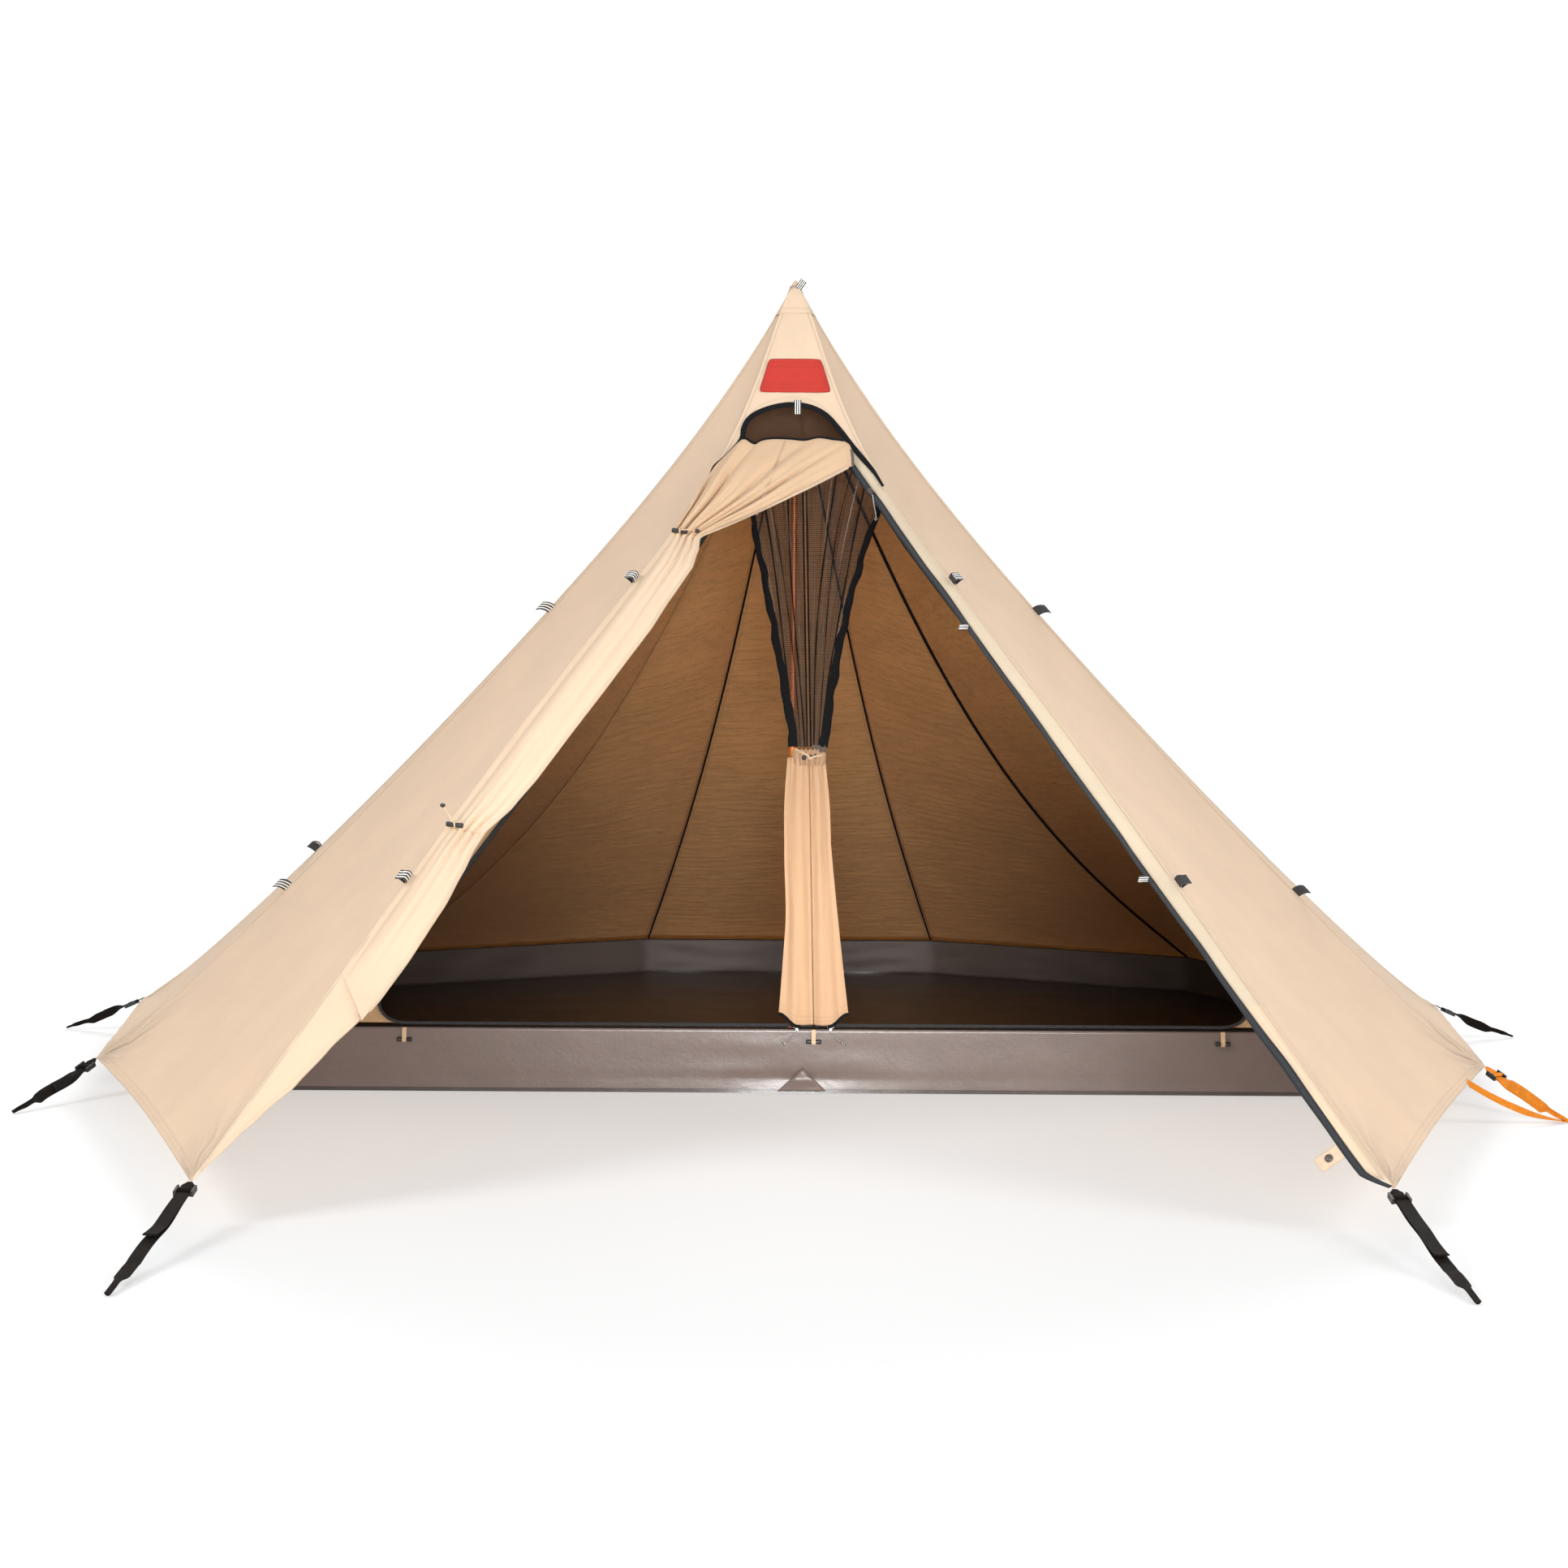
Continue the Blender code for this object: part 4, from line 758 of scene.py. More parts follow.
def fan_out(points, corner, along, across):
    """Angle and distance of each point of a grid, seen from a corner."""
    offset = points - np.array(corner)
    angle = np.arctan2(offset @ np.array(across), offset @ np.array(along))
    return angle, np.linalg.norm(offset, axis=2)


def corner_folds(points, normals, angle, far, phase):
    """Folds that fan out of a corner where the strap pulls it."""
    swell = np.minimum(FOLD_DEPTH, far * 0.07) * np.exp(-((far / FOLD_REACH) ** 2))
    turn = angle * CORNER_FOLDS + phase
    turn += 1.2 * np.sin(angle * CORNER_FOLDS * 0.37 + phase * 2) + 0.5 * np.sin(far * 14 + phase)
    ripple = 1.6 * np.exp(-3.0 * (1 - np.abs(np.cos(turn / 2)))) - 0.5
    return points + normals * (swell * ripple * np.sin(np.clip(angle / 1.1, 0, 1) * pi) ** 0.5)[..., None]


def make_fly():
    order = [("front", "mid", "front"), ("mid", "side", "side"), ("side", "rear", "rear"),
             ("rear", "back", "corner")]
    jobs = []
    for side_name, side in SIDES.items():
        for first, second, label in order:
            jobs.append((f"fly_{side_name}_{label}", FLY_SEAM[first, side], FLY_SEAM[second, side]))
    jobs.append(("fly_back", FLY_SEAM["back", -1], FLY_SEAM["back", 1]))
    for number, (name, first, second) in enumerate(jobs):
        points, cut, edge = panel_grid(first, second, HEM_RISE, PANEL_SAG, FLY_ROWS, FLY_COLUMNS, dense=True)
        points = straighten_hem(points, first, second, HEM_LIFT, HEM_INSET)
        normals = outward_normals(points)
        pull = np.full((*points.shape[:2], 2), PULL_FAR)
        for corner_seam, other, phase in ((first, second, 0.6 + number), (second, first, 2.2 + number)):
            corner = corner_seam.at(1.0)
            along = (corner_seam.at(0.93) - corner).normalized()
            aside = other.at(1.0) - corner
            across = (aside - along * aside.dot(along)).normalized()
            angle, far = fan_out(points, corner, along, across)
            near = far < pull[..., 1]
            pull[near] = np.stack([angle + phase, far], axis=2)[near]
            points = corner_folds(points, normals, angle, far, phase)
        for i in range(FLY_ROWS + 1):
            for k in range(FLY_COLUMNS + 1):
                u, v = cut[i, k]
                to_seam, to_hem = edge[i, k]
                soft = wrinkle((u * 4, v * 1.1, number * 7.0), 1.0) * 0.0020
                soft += wrinkle((u * 17, number * 3.0, 0.5), 1.0) * 0.0016 * exp(-to_hem / 0.06)
                points[i, k] += normals[i, k] * soft * min(to_seam / 0.04, 1.0)
        panel = cloth(name + "_cloth", points, FLY, (name,), from_pole, cut=cut, edge=edge)
        add_map(panel.data, "pull", pull)


def seam_strip(name, seam, left, right, mat, half=0.0045, lift=0.0014, top=0.02, end=0.998, steps=70):
    """A felled seam's ridge over the joint of two panels."""
    rows, cut = [], []
    length = (seam.at(1.0) - seam.at(0.0)).length
    for i in range(steps + 1):
        t = top + (end - top) * i / steps
        p = seam.at(t)
        a, b = (left.at(t) - p).normalized(), (right.at(t) - p).normalized()
        ahead = seam.ahead(t)
        out = p.copy()
        out.z = 0.4 * out.length
        na = ahead.cross(a).normalized()
        na = na if na.dot(out) > 0 else -na
        nb = ahead.cross(b).normalized()
        nb = nb if nb.dot(out) > 0 else -nb
        nm = (na + nb).normalized()
        spread = [(a, na, 1.0, 0.0), (a, na, 0.85, 1.0), (a, nm, 0.0, 1.35), (b, nb, 0.85, 1.0),
                  (b, nb, 1.0, 0.0)]
        rows.append([p + d * half * w + n * (CLOTH + lift * h * 0.6) for d, n, w, h in spread])
        cut.append([((k / 4 - 0.5) * 2 * half, t * length) for k in range(5)])
    # The edge map puts stitching's painted shade line along both edges of the strip.
    to_edge = [(0.5 * half * (0.1 if k in (0, 4) else 3), 0.1) for k in range(5)]
    mesh = grid_mesh(name, rows, np.array(cut), np.array([to_edge for _ in rows]), from_pole)
    finish_mesh(name, mesh, mat, angle=60)


def make_seam_strips():
    ring = [(p, -1) for p in FLY_PLAN] + [(p, 1) for p in reversed(FLY_PLAN)]
    for k, key in enumerate(ring):
        before, after = FLY_SEAM[ring[k - 1]], FLY_SEAM[ring[(k + 1) % len(ring)]]
        side_name = "left" if key[1] < 0 else "right"
        seam_strip(f"fly_seam_{key[0]}_{side_name}", FLY_SEAM[key], before, after, FLY)


# Front of the outer tent
def placket_edge(height):
    head = FRONT_RIGHT.at_height(ZIP_HEAD_HEIGHT) - Vector((PLACKET_TOP, 0, 0))
    foot = FRONT_RIGHT.at_height(ZIP_FOOT_HEIGHT) - Vector((PLACKET_FOOT, 0, 0))
    share = (ZIP_HEAD_HEIGHT - height) / (ZIP_HEAD_HEIGHT - ZIP_FOOT_HEIGHT)
    return head.lerp(foot, share)


FRONT_RIGHT = FLY_SEAM["front", 1]
TAPE_TOP = 1.404
PLACKET_START = 1.398
PLACKET_LENGTH = 1.62
ROLLED_TOP, ROLLED_FOOT = 1.315, 0.10
PLACKET_SHADE_FROM = 0.36
PLACKET_ALONG = (placket_edge(ZIP_FOOT_HEIGHT) - placket_edge(ZIP_HEAD_HEIGHT)).normalized()
PLACKET_ACROSS = Vector((-PLACKET_ALONG.z, 0, PLACKET_ALONG.x)).normalized()
PLACKET_NORMAL = PLACKET_ALONG.cross(PLACKET_ACROSS)
FRONT_NORMAL = Vector((0, -1, 0.4)).normalized()
ARCH = ((-0.1775, 1.327), (-0.1690, 1.349), (-0.1400, 1.376), (-0.1150, 1.407), (-0.1105, 1.432),
        (-0.1000, 1.453), (-0.0790, 1.4690), (-0.0450, 1.4815), (-0.0080, 1.4870), (0.0330, 1.4820),
        (0.0660, 1.4650), (0.0940, 1.4345), (0.1185, 1.4020), (0.1430, 1.3710), (0.1680, 1.3400),
        (0.1865, 1.3090))


def front_y(height):
    return FRONT_RIGHT.at_height(min(max(height, CORNER_HEIGHT + 0.0005), APEX_HEIGHT - 0.0005)).y


def on_front(x, height, lift=0.0):
    """A point on the front cloth's plane, lifted out of it."""
    return Vector((x, front_y(height), height)) + FRONT_NORMAL * lift


def arch_path():
    """The vent's edge, from its left foot over the top to its right foot, as (x, height)."""
    flat = smooth_path([Vector((x, 0, z)) for x, z in ARCH], 6)
    return [(p.x, p.z) for p in flat]


def front_cap_grid():
    """The front cloth over the arch: rows run from the apex down to the arch, columns across."""
    path = arch_path()
    columns, rows = 90, 30
    points, cut, edge = blank_grid(rows, columns)
    run = [0.0]
    for a, b in zip(path, path[1:]):
        run.append(run[-1] + hypot(b[0] - a[0], b[1] - a[1]))
    for k in range(columns + 1):
        u = 2 * k / columns - 1
        at = (k / columns) * run[-1]
        j = min(max(sum(1 for r in run if r <= at) - 1, 0), len(path) - 2)
        share = (at - run[j]) / max(run[j + 1] - run[j], 1e-9)
        x_low = path[j][0] + (path[j + 1][0] - path[j][0]) * share
        z_low = path[j][1] + (path[j + 1][1] - path[j][1]) * share
        half_low = FRONT_RIGHT.at_height(z_low).x
        reach_low = min(max(x_low / half_low, -1.0), 1.0)
        for i in range(rows + 1):
            v = i / rows
            height = (APEX_HEIGHT - 0.0006) + (z_low - APEX_HEIGHT) * v
            outer = FRONT_RIGHT.at_height(height)
            reach = u * (1 - v) + reach_low * v
            soft = 0.0016 * sin(pi * v) * wrinkle((u * 3, height * 16, 5.0), 1.0) * (1 - abs(reach) ** 4)
            points[i, k] = (outer.x * reach, outer.y - 0.0016 * (1 - reach * reach) * v - soft, height)
            cut[i, k] = (outer.x * reach, height)
            edge[i, k] = (0.004 + (1 - abs(reach)) * outer.x, 0.004 + (height - z_low) * 1.05)
    return points, cut, edge


def tape_line_x(height):
    """Middle of the door's zip tape: it starts under the vent's lip and runs down to the corner."""
    if height > ZIP_HEAD_HEIGHT:
        head = placket_edge(ZIP_HEAD_HEIGHT).x - 0.005
        share = min((height - ZIP_HEAD_HEIGHT) / (TAPE_TOP - ZIP_HEAD_HEIGHT), 1.0)
        return head + (0.0880 - head) * share
    return placket_edge(max(height, ZIP_FOOT_HEIGHT)).x - 0.005


def leg_grid():
    """The placket right of the zip tape, from under the arch down to the front right corner."""
    rows, columns = 150, 8
    points, cut, edge = blank_grid(rows, columns)
    low = CORNER_HEIGHT + 0.012
    arch = [q for q in arch_path() if q[0] > 0.09]
    run = 0.0
    for i in range(rows + 1):
        height = PLACKET_START + (low - PLACKET_START) * i / rows
        outer = FRONT_RIGHT.at_height(height)
        if height > ARCH[-1][1]:
            near = min(arch, key=lambda q: abs(q[1] - height))
            outer = Vector((min(near[0] + 0.003, outer.x), outer.y, height))
        if height > ZIP_HEAD_HEIGHT:
            inner = Vector((tape_line_x(height) + 0.004, outer.y, height))
        else:
            inner = placket_edge(max(height, ZIP_FOOT_HEIGHT))
        if height < ZIP_FOOT_HEIGHT:
            share = max((height - CORNER_HEIGHT) / (ZIP_FOOT_HEIGHT - CORNER_HEIGHT), 0.12)
            inner = outer.lerp(Vector((inner.x, inner.y, height)), share)
        under = -0.0025 * soft_step((height - 1.29) / 0.02)
        width = (outer - inner).length
        for k in range(columns + 1):
            s = k / columns
            p = inner.lerp(outer, s)
            ripple = sin(run * 21 + 1.2) * 0.0010 + sin(run * 47) * 0.0004
            ripple *= (1 - s) * sin(pi * min(s + 0.3, 1))
            points[i, k] = p + PLACKET_NORMAL * (0.0020 * sin(pi * s) + ripple + under)
            cut[i, k] = (s * width, run)
            edge[i, k] = ((1 - s) * width, s * width)
        run += PLACKET_LENGTH / rows
    return points, cut, edge


def make_front():
    points, cut, edge = front_cap_grid()
    cloth("fly_front_cloth", points, FLY, ("fly_front",), to_front, cut=cut, edge=edge)
    points, cut, edge = leg_grid()
    strip = cloth("fly_front_placket", points, PLACKET_SHADED, ("fly_front",), to_front, cut=cut, edge=edge)
    # Low down the strip takes the door's cloth; higher up it keeps the placket's painted shade.
    strip.data.materials.append(FLY_SOFT)
    for face in strip.data.polygons:
        face.material_index = int(face.center.z < PLACKET_SHADE_FROM)
    line = []
    for height in np.linspace(ROLLED_TOP, ROLLED_FOOT, 120):
        line.append(FRONT_RIGHT.at_height(height) + Vector((-0.0030, -0.0012, 0)) - PLACKET_NORMAL * 0.0002)
    tube("fly_right_front_rolled_edge", line, 0.0034, FLY, sides=10)


def make_outer_zip():
    """Thin black binding round the arch, and the door's wide zip tape down the placket."""
    path = [on_front(x, z, 0.0030) for x, z in arch_path()]
    count = len(path)
    across = [FRONT_NORMAL.cross(direction(path, k)).normalized() for k in range(count)]
    inside = []
    widths = []
    for k in range(count):
        inside.append(path[k] - across[k] * 0.003 + FRONT_NORMAL * 0.005 * soft_step((24 - k) / 12))
        widths.append(0.0065 + 0.0047 * soft_step((k - 8) / 14) - 0.0060 * soft_step((k - count + 13) / 12))
    ribbon("vent_binding", inside, across, [FRONT_NORMAL] * count, widths, 0.0012, BINDING, bulge=0.0016,
           replaced=("outer_zip",))
    tape = []
    steps = 100
    for k in range(steps + 1):
        height = TAPE_TOP + (ZIP_FOOT_HEIGHT - 0.006 - TAPE_TOP) * k / steps
        run = k / steps * 1.75
        ripple = (sin(run * 23 + 0.5) * 0.0010 + sin(run * 51 + 2) * 0.0004) * min(k / 8, 1.0)
        if height > ZIP_HEAD_HEIGHT:
            p = on_front(tape_line_x(height), height)
        else:
            p = placket_edge(height) - PLACKET_ACROSS * 0.005
        under = -0.0020 * soft_step((height - 1.36) / 0.03)
        tape.append(p - PLACKET_ACROSS * ripple + PLACKET_NORMAL * (0.0018 + under))
    foot, corner = tape[-1].copy(), FRONT_RIGHT.at(1.0) + Vector((-0.006, -0.002, 0.004))
    for k in range(1, 7):
        tape.append(foot.lerp(corner, k / 6) - Vector((0.003 * sin(pi * k / 6), 0, 0)))
    upper = steps // 2
    widths = [0.0088 + 0.0040 * soft_step((p.z - 0.98) / 0.2) + 0.0052 * soft_step((0.48 - p.z) / 0.2)
              + 0.0010 * sin(p.z * 31) - 0.0080 * soft_step((ZIP_FOOT_HEIGHT - p.z) / 0.03) for p in tape]
    for name, part in (("door_zip", slice(0, upper + 1)), ("door_zip_lower", slice(upper, None))):
        points = tape[part]
        ribbon(name, points, [PLACKET_ACROSS] * len(points), [PLACKET_NORMAL] * len(points), widths[part],
               0.0022, ZIP, bulge=0.0006, replaced=("outer_zip",))


# The gathered outer door
UPPER_TIE, LOWER_TIE = 1.205, 0.645
DOOR_NORMAL = Vector((0, -1, 0.25)).normalized()
LIP = ((-0.1765, 1.330), (-0.1630, 1.352), (-0.1380, 1.379), (-0.1160, 1.402), (-0.1040, 1.4085),
       (-0.0850, 1.3985), (-0.0680, 1.4060), (-0.0400, 1.4095), (-0.0100, 1.4085), (0.0200, 1.4065),
       (0.0500, 1.4120), (0.0800, 1.4080), (0.1020, 1.4050), (0.1150, 1.3960), (0.1200, 1.3750),
       (0.1210, 1.3530))
LIP_START, LIP_END = 0.24, 0.80
# How far the rolled door reaches from the seam, as (height, metres)
REACH = ((1.205, 0.058), (1.175, 0.074), (1.143, 0.086), (1.08, 0.090), (1.02, 0.097), (0.90, 0.098),
         (0.80, 0.096), (0.745, 0.095), (0.69, 0.088), (0.645, 0.072), (0.615, 0.074), (0.58, 0.082),
         (0.52, 0.092), (0.43, 0.096), (0.375, 0.094), (0.335, 0.088), (0.283, 0.070), (0.227, 0.056),
         (0.185, 0.036), (0.141, 0.018), (0.100, 0.004))
ROLL_END = 0.335
# Folds near the ties: place, slide, depth, length and width
UPPER_FOLDS = ((0.14, 0.05, 0.0060, 0.80, 0.045), (0.36, 0.35, 0.0100, 0.17, 0.065),
               (0.58, 0.12, 0.0130, 0.42, 0.070), (0.80, -0.15, 0.0100, 0.13, 0.060))
LOWER_FOLDS = ((0.30, 0.20, 0.0080, 0.05, 0.070), (0.52, -0.20, 0.0110, 0.11, 0.070),
               (0.76, 0.10, 0.0110, 0.06, 0.065))
EDGE_LIFT = 0.0018
FOOT_TOP, FOOT_LOW = 0.47, 0.098
DOOR_SEAM = ((-0.019, 1.4065), (-0.078, 1.247))


def along_table(table, height):
    """Value at a height from (height, value) pairs that run downwards."""
    if height >= table[0][0]:
        return table[0][1]
    for (a, u), (b, v) in zip(table, table[1:]):
        if height >= b:
            share = (height - b) / (a - b)
            return v + (u - v) * (soft_step(share) + share) * 0.5
    return table[-1][1]


def soft_step(x):
    x = min(max(x, 0.0), 1.0)
    return x * x * (3 - 2 * x)


def beside_seam(height):
    return FLY_SEAM["front", -1].at_height(height) + Vector((0.0012, 0, 0))


def ridge(turn, sharp=2.2):
    """Round-backed folds with narrow valleys, 0 to 1."""
    return 1.0 - (0.5 + 0.5 * cos(turn)) ** sharp


def roll_point(height, s):
    """The rolled part of the door beside the left seam: s runs from the seam to its free edge."""
    left = beside_seam(height)
    reach = along_table(REACH, height)
    base = left + Vector((reach * s, -0.25 * reach * s, -0.10 * reach * s))
    pinch = max(exp(-((UPPER_TIE - height) / 0.028) ** 2), exp(-((height - LOWER_TIE) / 0.022) ** 2))
    across = max((s - 0.12) / 0.88, 0.0)
    round_off = sin(pi * min(across, 1.0) ** 0.8) ** 0.6 if across > 0 else 0.0
    lift = 0.022 * round_off * (1 - 0.45 * pinch)
    below = UPPER_TIE - height
    for place, slide, depth, length, wide in UPPER_FOLDS:
        mid = place + slide * below + 0.020 * sin(below * 6 + place * 20)
        lift -= depth * exp(-below / length) * exp(-((s - mid) / (wide + 0.10 * below)) ** 2)
    gap = height - LOWER_TIE
    for place, slide, depth, length, wide in LOWER_FOLDS:
        mid = place + slide * abs(gap)
        lift -= depth * exp(-abs(gap) / (length if gap > 0 else length * 1.8)) * exp(-((s - mid) / wide) ** 2)
    lift += wrinkle((base.x * 3, base.z * 3, 3.0), 1.0) * 0.0020 * round_off
    lift *= 1 - 0.80 * soft_step((0.50 - height) / 0.12)
    return base + DOOR_NORMAL * (0.002 + max(lift, 0.0))


LIP_PATH = smooth_path([Vector((x, 0, z)) for x, z in LIP], 10)


def lip_point(s):
    place = s * (len(LIP_PATH) - 1)
    j = min(int(place), len(LIP_PATH) - 2)
    return LIP_PATH[j].lerp(LIP_PATH[j + 1], place - j)


def drape_point(r, s):
    """The part between the lip and the upper tie: folds run along the rays that meet at the tie."""
    far = lip_point(s)
    near = roll_point(UPPER_TIE, s)
    x = far.x + (near.x - far.x) * r
    height = far.z + (near.z - far.z) * r
    height -= 0.010 * sin(pi * r) * s ** 3
    swell = sin(pi * min(r, 1.0)) ** 0.8
    turn = 2 * pi * (5.2 * s + 0.34 * sin(5.0 * s + 1.0) + 0.10 * sin(7 * r))
    folds = ridge(turn, 2.2) * 0.70 + ridge(turn * 1.93 + 1.1 + 0.8 * r, 1.4) * 0.30
    depth = 0.0022 + 0.0150 * soft_step(r / 0.60) * (1 - 0.50 * soft_step((r - 0.8) / 0.2))
    belly = 0.016 * swell * s ** 1.5
    height -= 0.0045 * (folds - 0.5) * soft_step((s - 0.85) / 0.15) * swell
    y_far = front_y(far.z) - 0.014
    y = y_far + (near.y - y_far) * r - 0.010 * swell
    p = Vector((x, y, height)) + DOOR_NORMAL * (depth * (folds - 0.4) + belly)
    p += DOOR_NORMAL * wrinkle((x * 16, height * 9, 2.0), 1.0) * 0.0016 * swell
    return p


def make_outer_door():
    high, rows, columns = 90, 190, 120
    points = np.zeros((high + rows + 1, columns + 1, 3))
    for i in range(high):
        for k in range(columns + 1):
            points[i, k] = drape_point(i / high, k / columns)
    for i in range(rows + 1):
        share = i / rows
        for k in range(columns + 1):
            end = ROLL_END + 0.062 * (1 - k / columns)
            height = UPPER_TIE + (end - UPPER_TIE) * (0.45 * share + 0.55 * share ** 1.25)
            points[high + i, k] = roll_point(height, k / columns)
    for _ in range(3):
        band = points[high - 6:high + 7].copy()
        points[high - 5:high + 6] = (band[:-2] + 2 * band[1:-1] + band[2:])[0:11] / 4
    across, along = arc_lengths(points)
    edge = np.stack([0.003 + across[:, -1:] - across, 0.004 + along], axis=2)
    door = cloth("outer_door_cloth", points, FLY_SOFT, ("outer_door",), to_front,
                 np.stack([across, along], axis=2), edge, thick=0.0014)
    # The drape's rows take the painted-shade copy of the cloth.
    door.data.materials.append(FLY_DRAPE_SHADED)
    for face in door.data.polygons[:high * columns]:
        face.material_index = 1
    first, last = int(columns * LIP_START), int(columns * LIP_END)
    lip = [Vector(p) + DOOR_NORMAL * EDGE_LIFT + Vector((0, 0, 0.0010)) for p in points[0, first:last + 1]]
    tube("door_lip_edge", lip, 0.0027, BINDING, sides=8)
    tail = [Vector(p) + DOOR_NORMAL * EDGE_LIFT for p in points[0, int(columns * 0.90):]]
    tube("door_lip_end", tail, 0.0030, GREY, sides=8)
    hem = [Vector(p) + DOOR_NORMAL * 0.0010 for p in points[3:high + rows - 2, -1]]
    tube("door_hem_roll", hem, 0.0024, FLY_SOFT, sides=8)
    (x0, z0), (x1, z1) = DOOR_SEAM
    for label, offset in (("a", -0.0016), ("b", 0.0016)):
        seam = []
        for k in range(26):
            t = k / 25
            want = Vector((x0 + (x1 - x0) * t + offset, 0, z0 + (z1 - z0) * t))
            flat = points[:high, :, 0] - want.x
            deep = points[:high, :, 2] - want.z
            i, j = np.unravel_index(np.argmin(flat ** 2 + deep ** 2), flat.shape)
            seam.append(Vector((want.x, points[i, j, 1], want.z)))
        for _ in range(3):
            inside = [(a + b * 2 + c) / 4 for a, b, c in zip(seam, seam[1:], seam[2:])]
            seam = [seam[0], *inside, seam[-1]]
        tube(f"door_seam_{label}", [q + DOOR_NORMAL * 0.0012 for q in seam], 0.0013, FLY_DRAPE_SHADED, sides=6)


def make_outer_door_foot():
    """The door's lowest part, which runs out flat beside the seam."""
    rows, columns = 90, 14
    foot = np.zeros((rows + 1, columns + 1, 3))
    for i in range(rows + 1):
        height = FOOT_TOP + (FOOT_LOW - FOOT_TOP) * i / rows
        left = beside_seam(height)
        reach = along_table(REACH, height) * (0.90 if height > ROLL_END else 1.0)
        for k in range(columns + 1):
            q = k / columns
            lift = 0.0016 + 0.0022 * sin(pi * q) * sin(pi * i / rows) + 0.0008 * sin(height * 60 + q * 3)
            aside = Vector((reach * q, -0.12 * reach * q, -0.05 * reach * q))
            foot[i, k] = left + aside + DOOR_NORMAL * lift
    across, along = arc_lengths(foot)
    edge = np.stack([0.001 + across[:, -1:] - across, 0.02 + along], axis=2)
    cloth("outer_door_foot", foot, FLY_SOFT, ("outer_door",), to_front,
          np.stack([across, along], axis=2), edge, thick=0.0014)


# The inner tent
INNER_SAG = 0.025
SHADE_FROM = 1.30


def inner_panel(name, first, second, replaced, number):
    points, cut, edge = panel_grid(first, second, 0.0, INNER_SAG, 80, 40, hold=1.0)
    normals = outward_normals(points)
    rows, columns = points.shape[:2]
    for i in range(rows):
        for k in range(columns):
            calm = min(edge[i, k, 0] / 0.05, 1.0) * min(edge[i, k, 1] / 0.03, 1.0)
            u, v = cut[i, k]
            soft = wrinkle((u * 3.4, v * 1.6, number * 5.0), 1.0) * 0.0060
            soft += wrinkle((u * 11, v * 7, number * 2.0), 1.0) * 0.0022
            crease = abs(wrinkle((u * 7 + v * 3, v * 5 - u * 2, number * 4.0), 1.0))
            soft -= exp(-(crease / 0.05) ** 2) * 0.0016
            points[i, k] += normals[i, k] * soft * calm
    cloth(name, points, INNER_CLOTH, replaced, from_pole, cut=cut, edge=edge)


def make_inner():
    for side_name, side in SIDES.items():
        for first, second, part, label, number in (("mid", "side", "side", "side_cloth", 1),
                                                   ("side", "rear", "rear", "rear_first", 3),
                                                   ("rear", "back", "rear", "rear_second", 5)):
            inner_panel(f"inner_{side_name}_{label}", INNER_SEAM[first, side], INNER_SEAM[second, side],
                        (f"inner_{side_name}_{part}",), number + side)
        for place in INNER_BOW:
            if place == "rear" and side < 0:
                continue
            seam = INNER_SEAM[place, side]
            line = []
            for k in range(61):
                p = seam.at(0.02 + 0.975 * k / 60)
                inward = Vector((-p.x, -p.y, -0.25 * hypot(p.x, p.y))).normalized()
                line.append(p + inward * 0.0035)
            radius = 0.0036 if place == "rear" else 0.0022
            tube(f"inner_piping_{place}_{side_name}", line, radius, BINDING, sides=6)
    inner_panel("inner_back_cloth", INNER_SEAM["back", -1], INNER_SEAM["back", 1], ("inner_back",), 8)


def opening_side_x(height):
    x = OPENING_CORNER_X * (OPENING_TOP - height) / (OPENING_TOP - SILL_HEIGHT)
    rise = (height - SILL_HEIGHT) / OPENING_CORNER_RADIUS
    if rise < 1:
        x -= OPENING_CORNER_RADIUS * (1 - sqrt(max(1 - (1 - rise) ** 2, 0.0)))
    return x


# The opening's two edges, as (height, x)
LEFT_EDGE = ((1.41, -0.045), (1.25, -0.168), (1.16, -0.226), (0.951, -0.367), (0.68, -0.561),
             (0.434, -0.746), (0.30, -0.8474))
RIGHT_EDGE = ((1.41, 0.085), (1.2873, 0.178), (1.193, 0.242), (1.10, 0.313), (0.987, 0.401),
              (0.817, 0.525), (0.663, 0.640), (0.532, 0.737), (0.405, 0.828), (0.303, 0.904))


def opening_edge(height, side):
    """How far the cloth's edge stands from the doorway's middle line."""
    table = LEFT_EDGE if side < 0 else RIGHT_EDGE
    if height < table[-1][0]:
        return opening_side_x(height)
    for (a, u), (b, v) in zip(table, table[1:]):
        if height >= b:
            x = v + (u - v) * min((height - b) / (a - b), 1.0)
            return side * (x - doorway_middle(height))
    return opening_side_x(height)


def doorway_middle(height):
    if height > OPENING_TOP:
        return OPENING_TOP_X * (INNER_APEX - height) / (INNER_APEX - OPENING_TOP)
    return OPENING_TOP_X + OPENING_LEAN * (OPENING_TOP - height)


def corner_heights(first, last, count):
    """Heights round the opening's lower corner, from its angles."""
    return [SILL_HEIGHT + OPENING_CORNER_RADIUS * (1 - sin(a)) for a in np.linspace(first, last, count)]


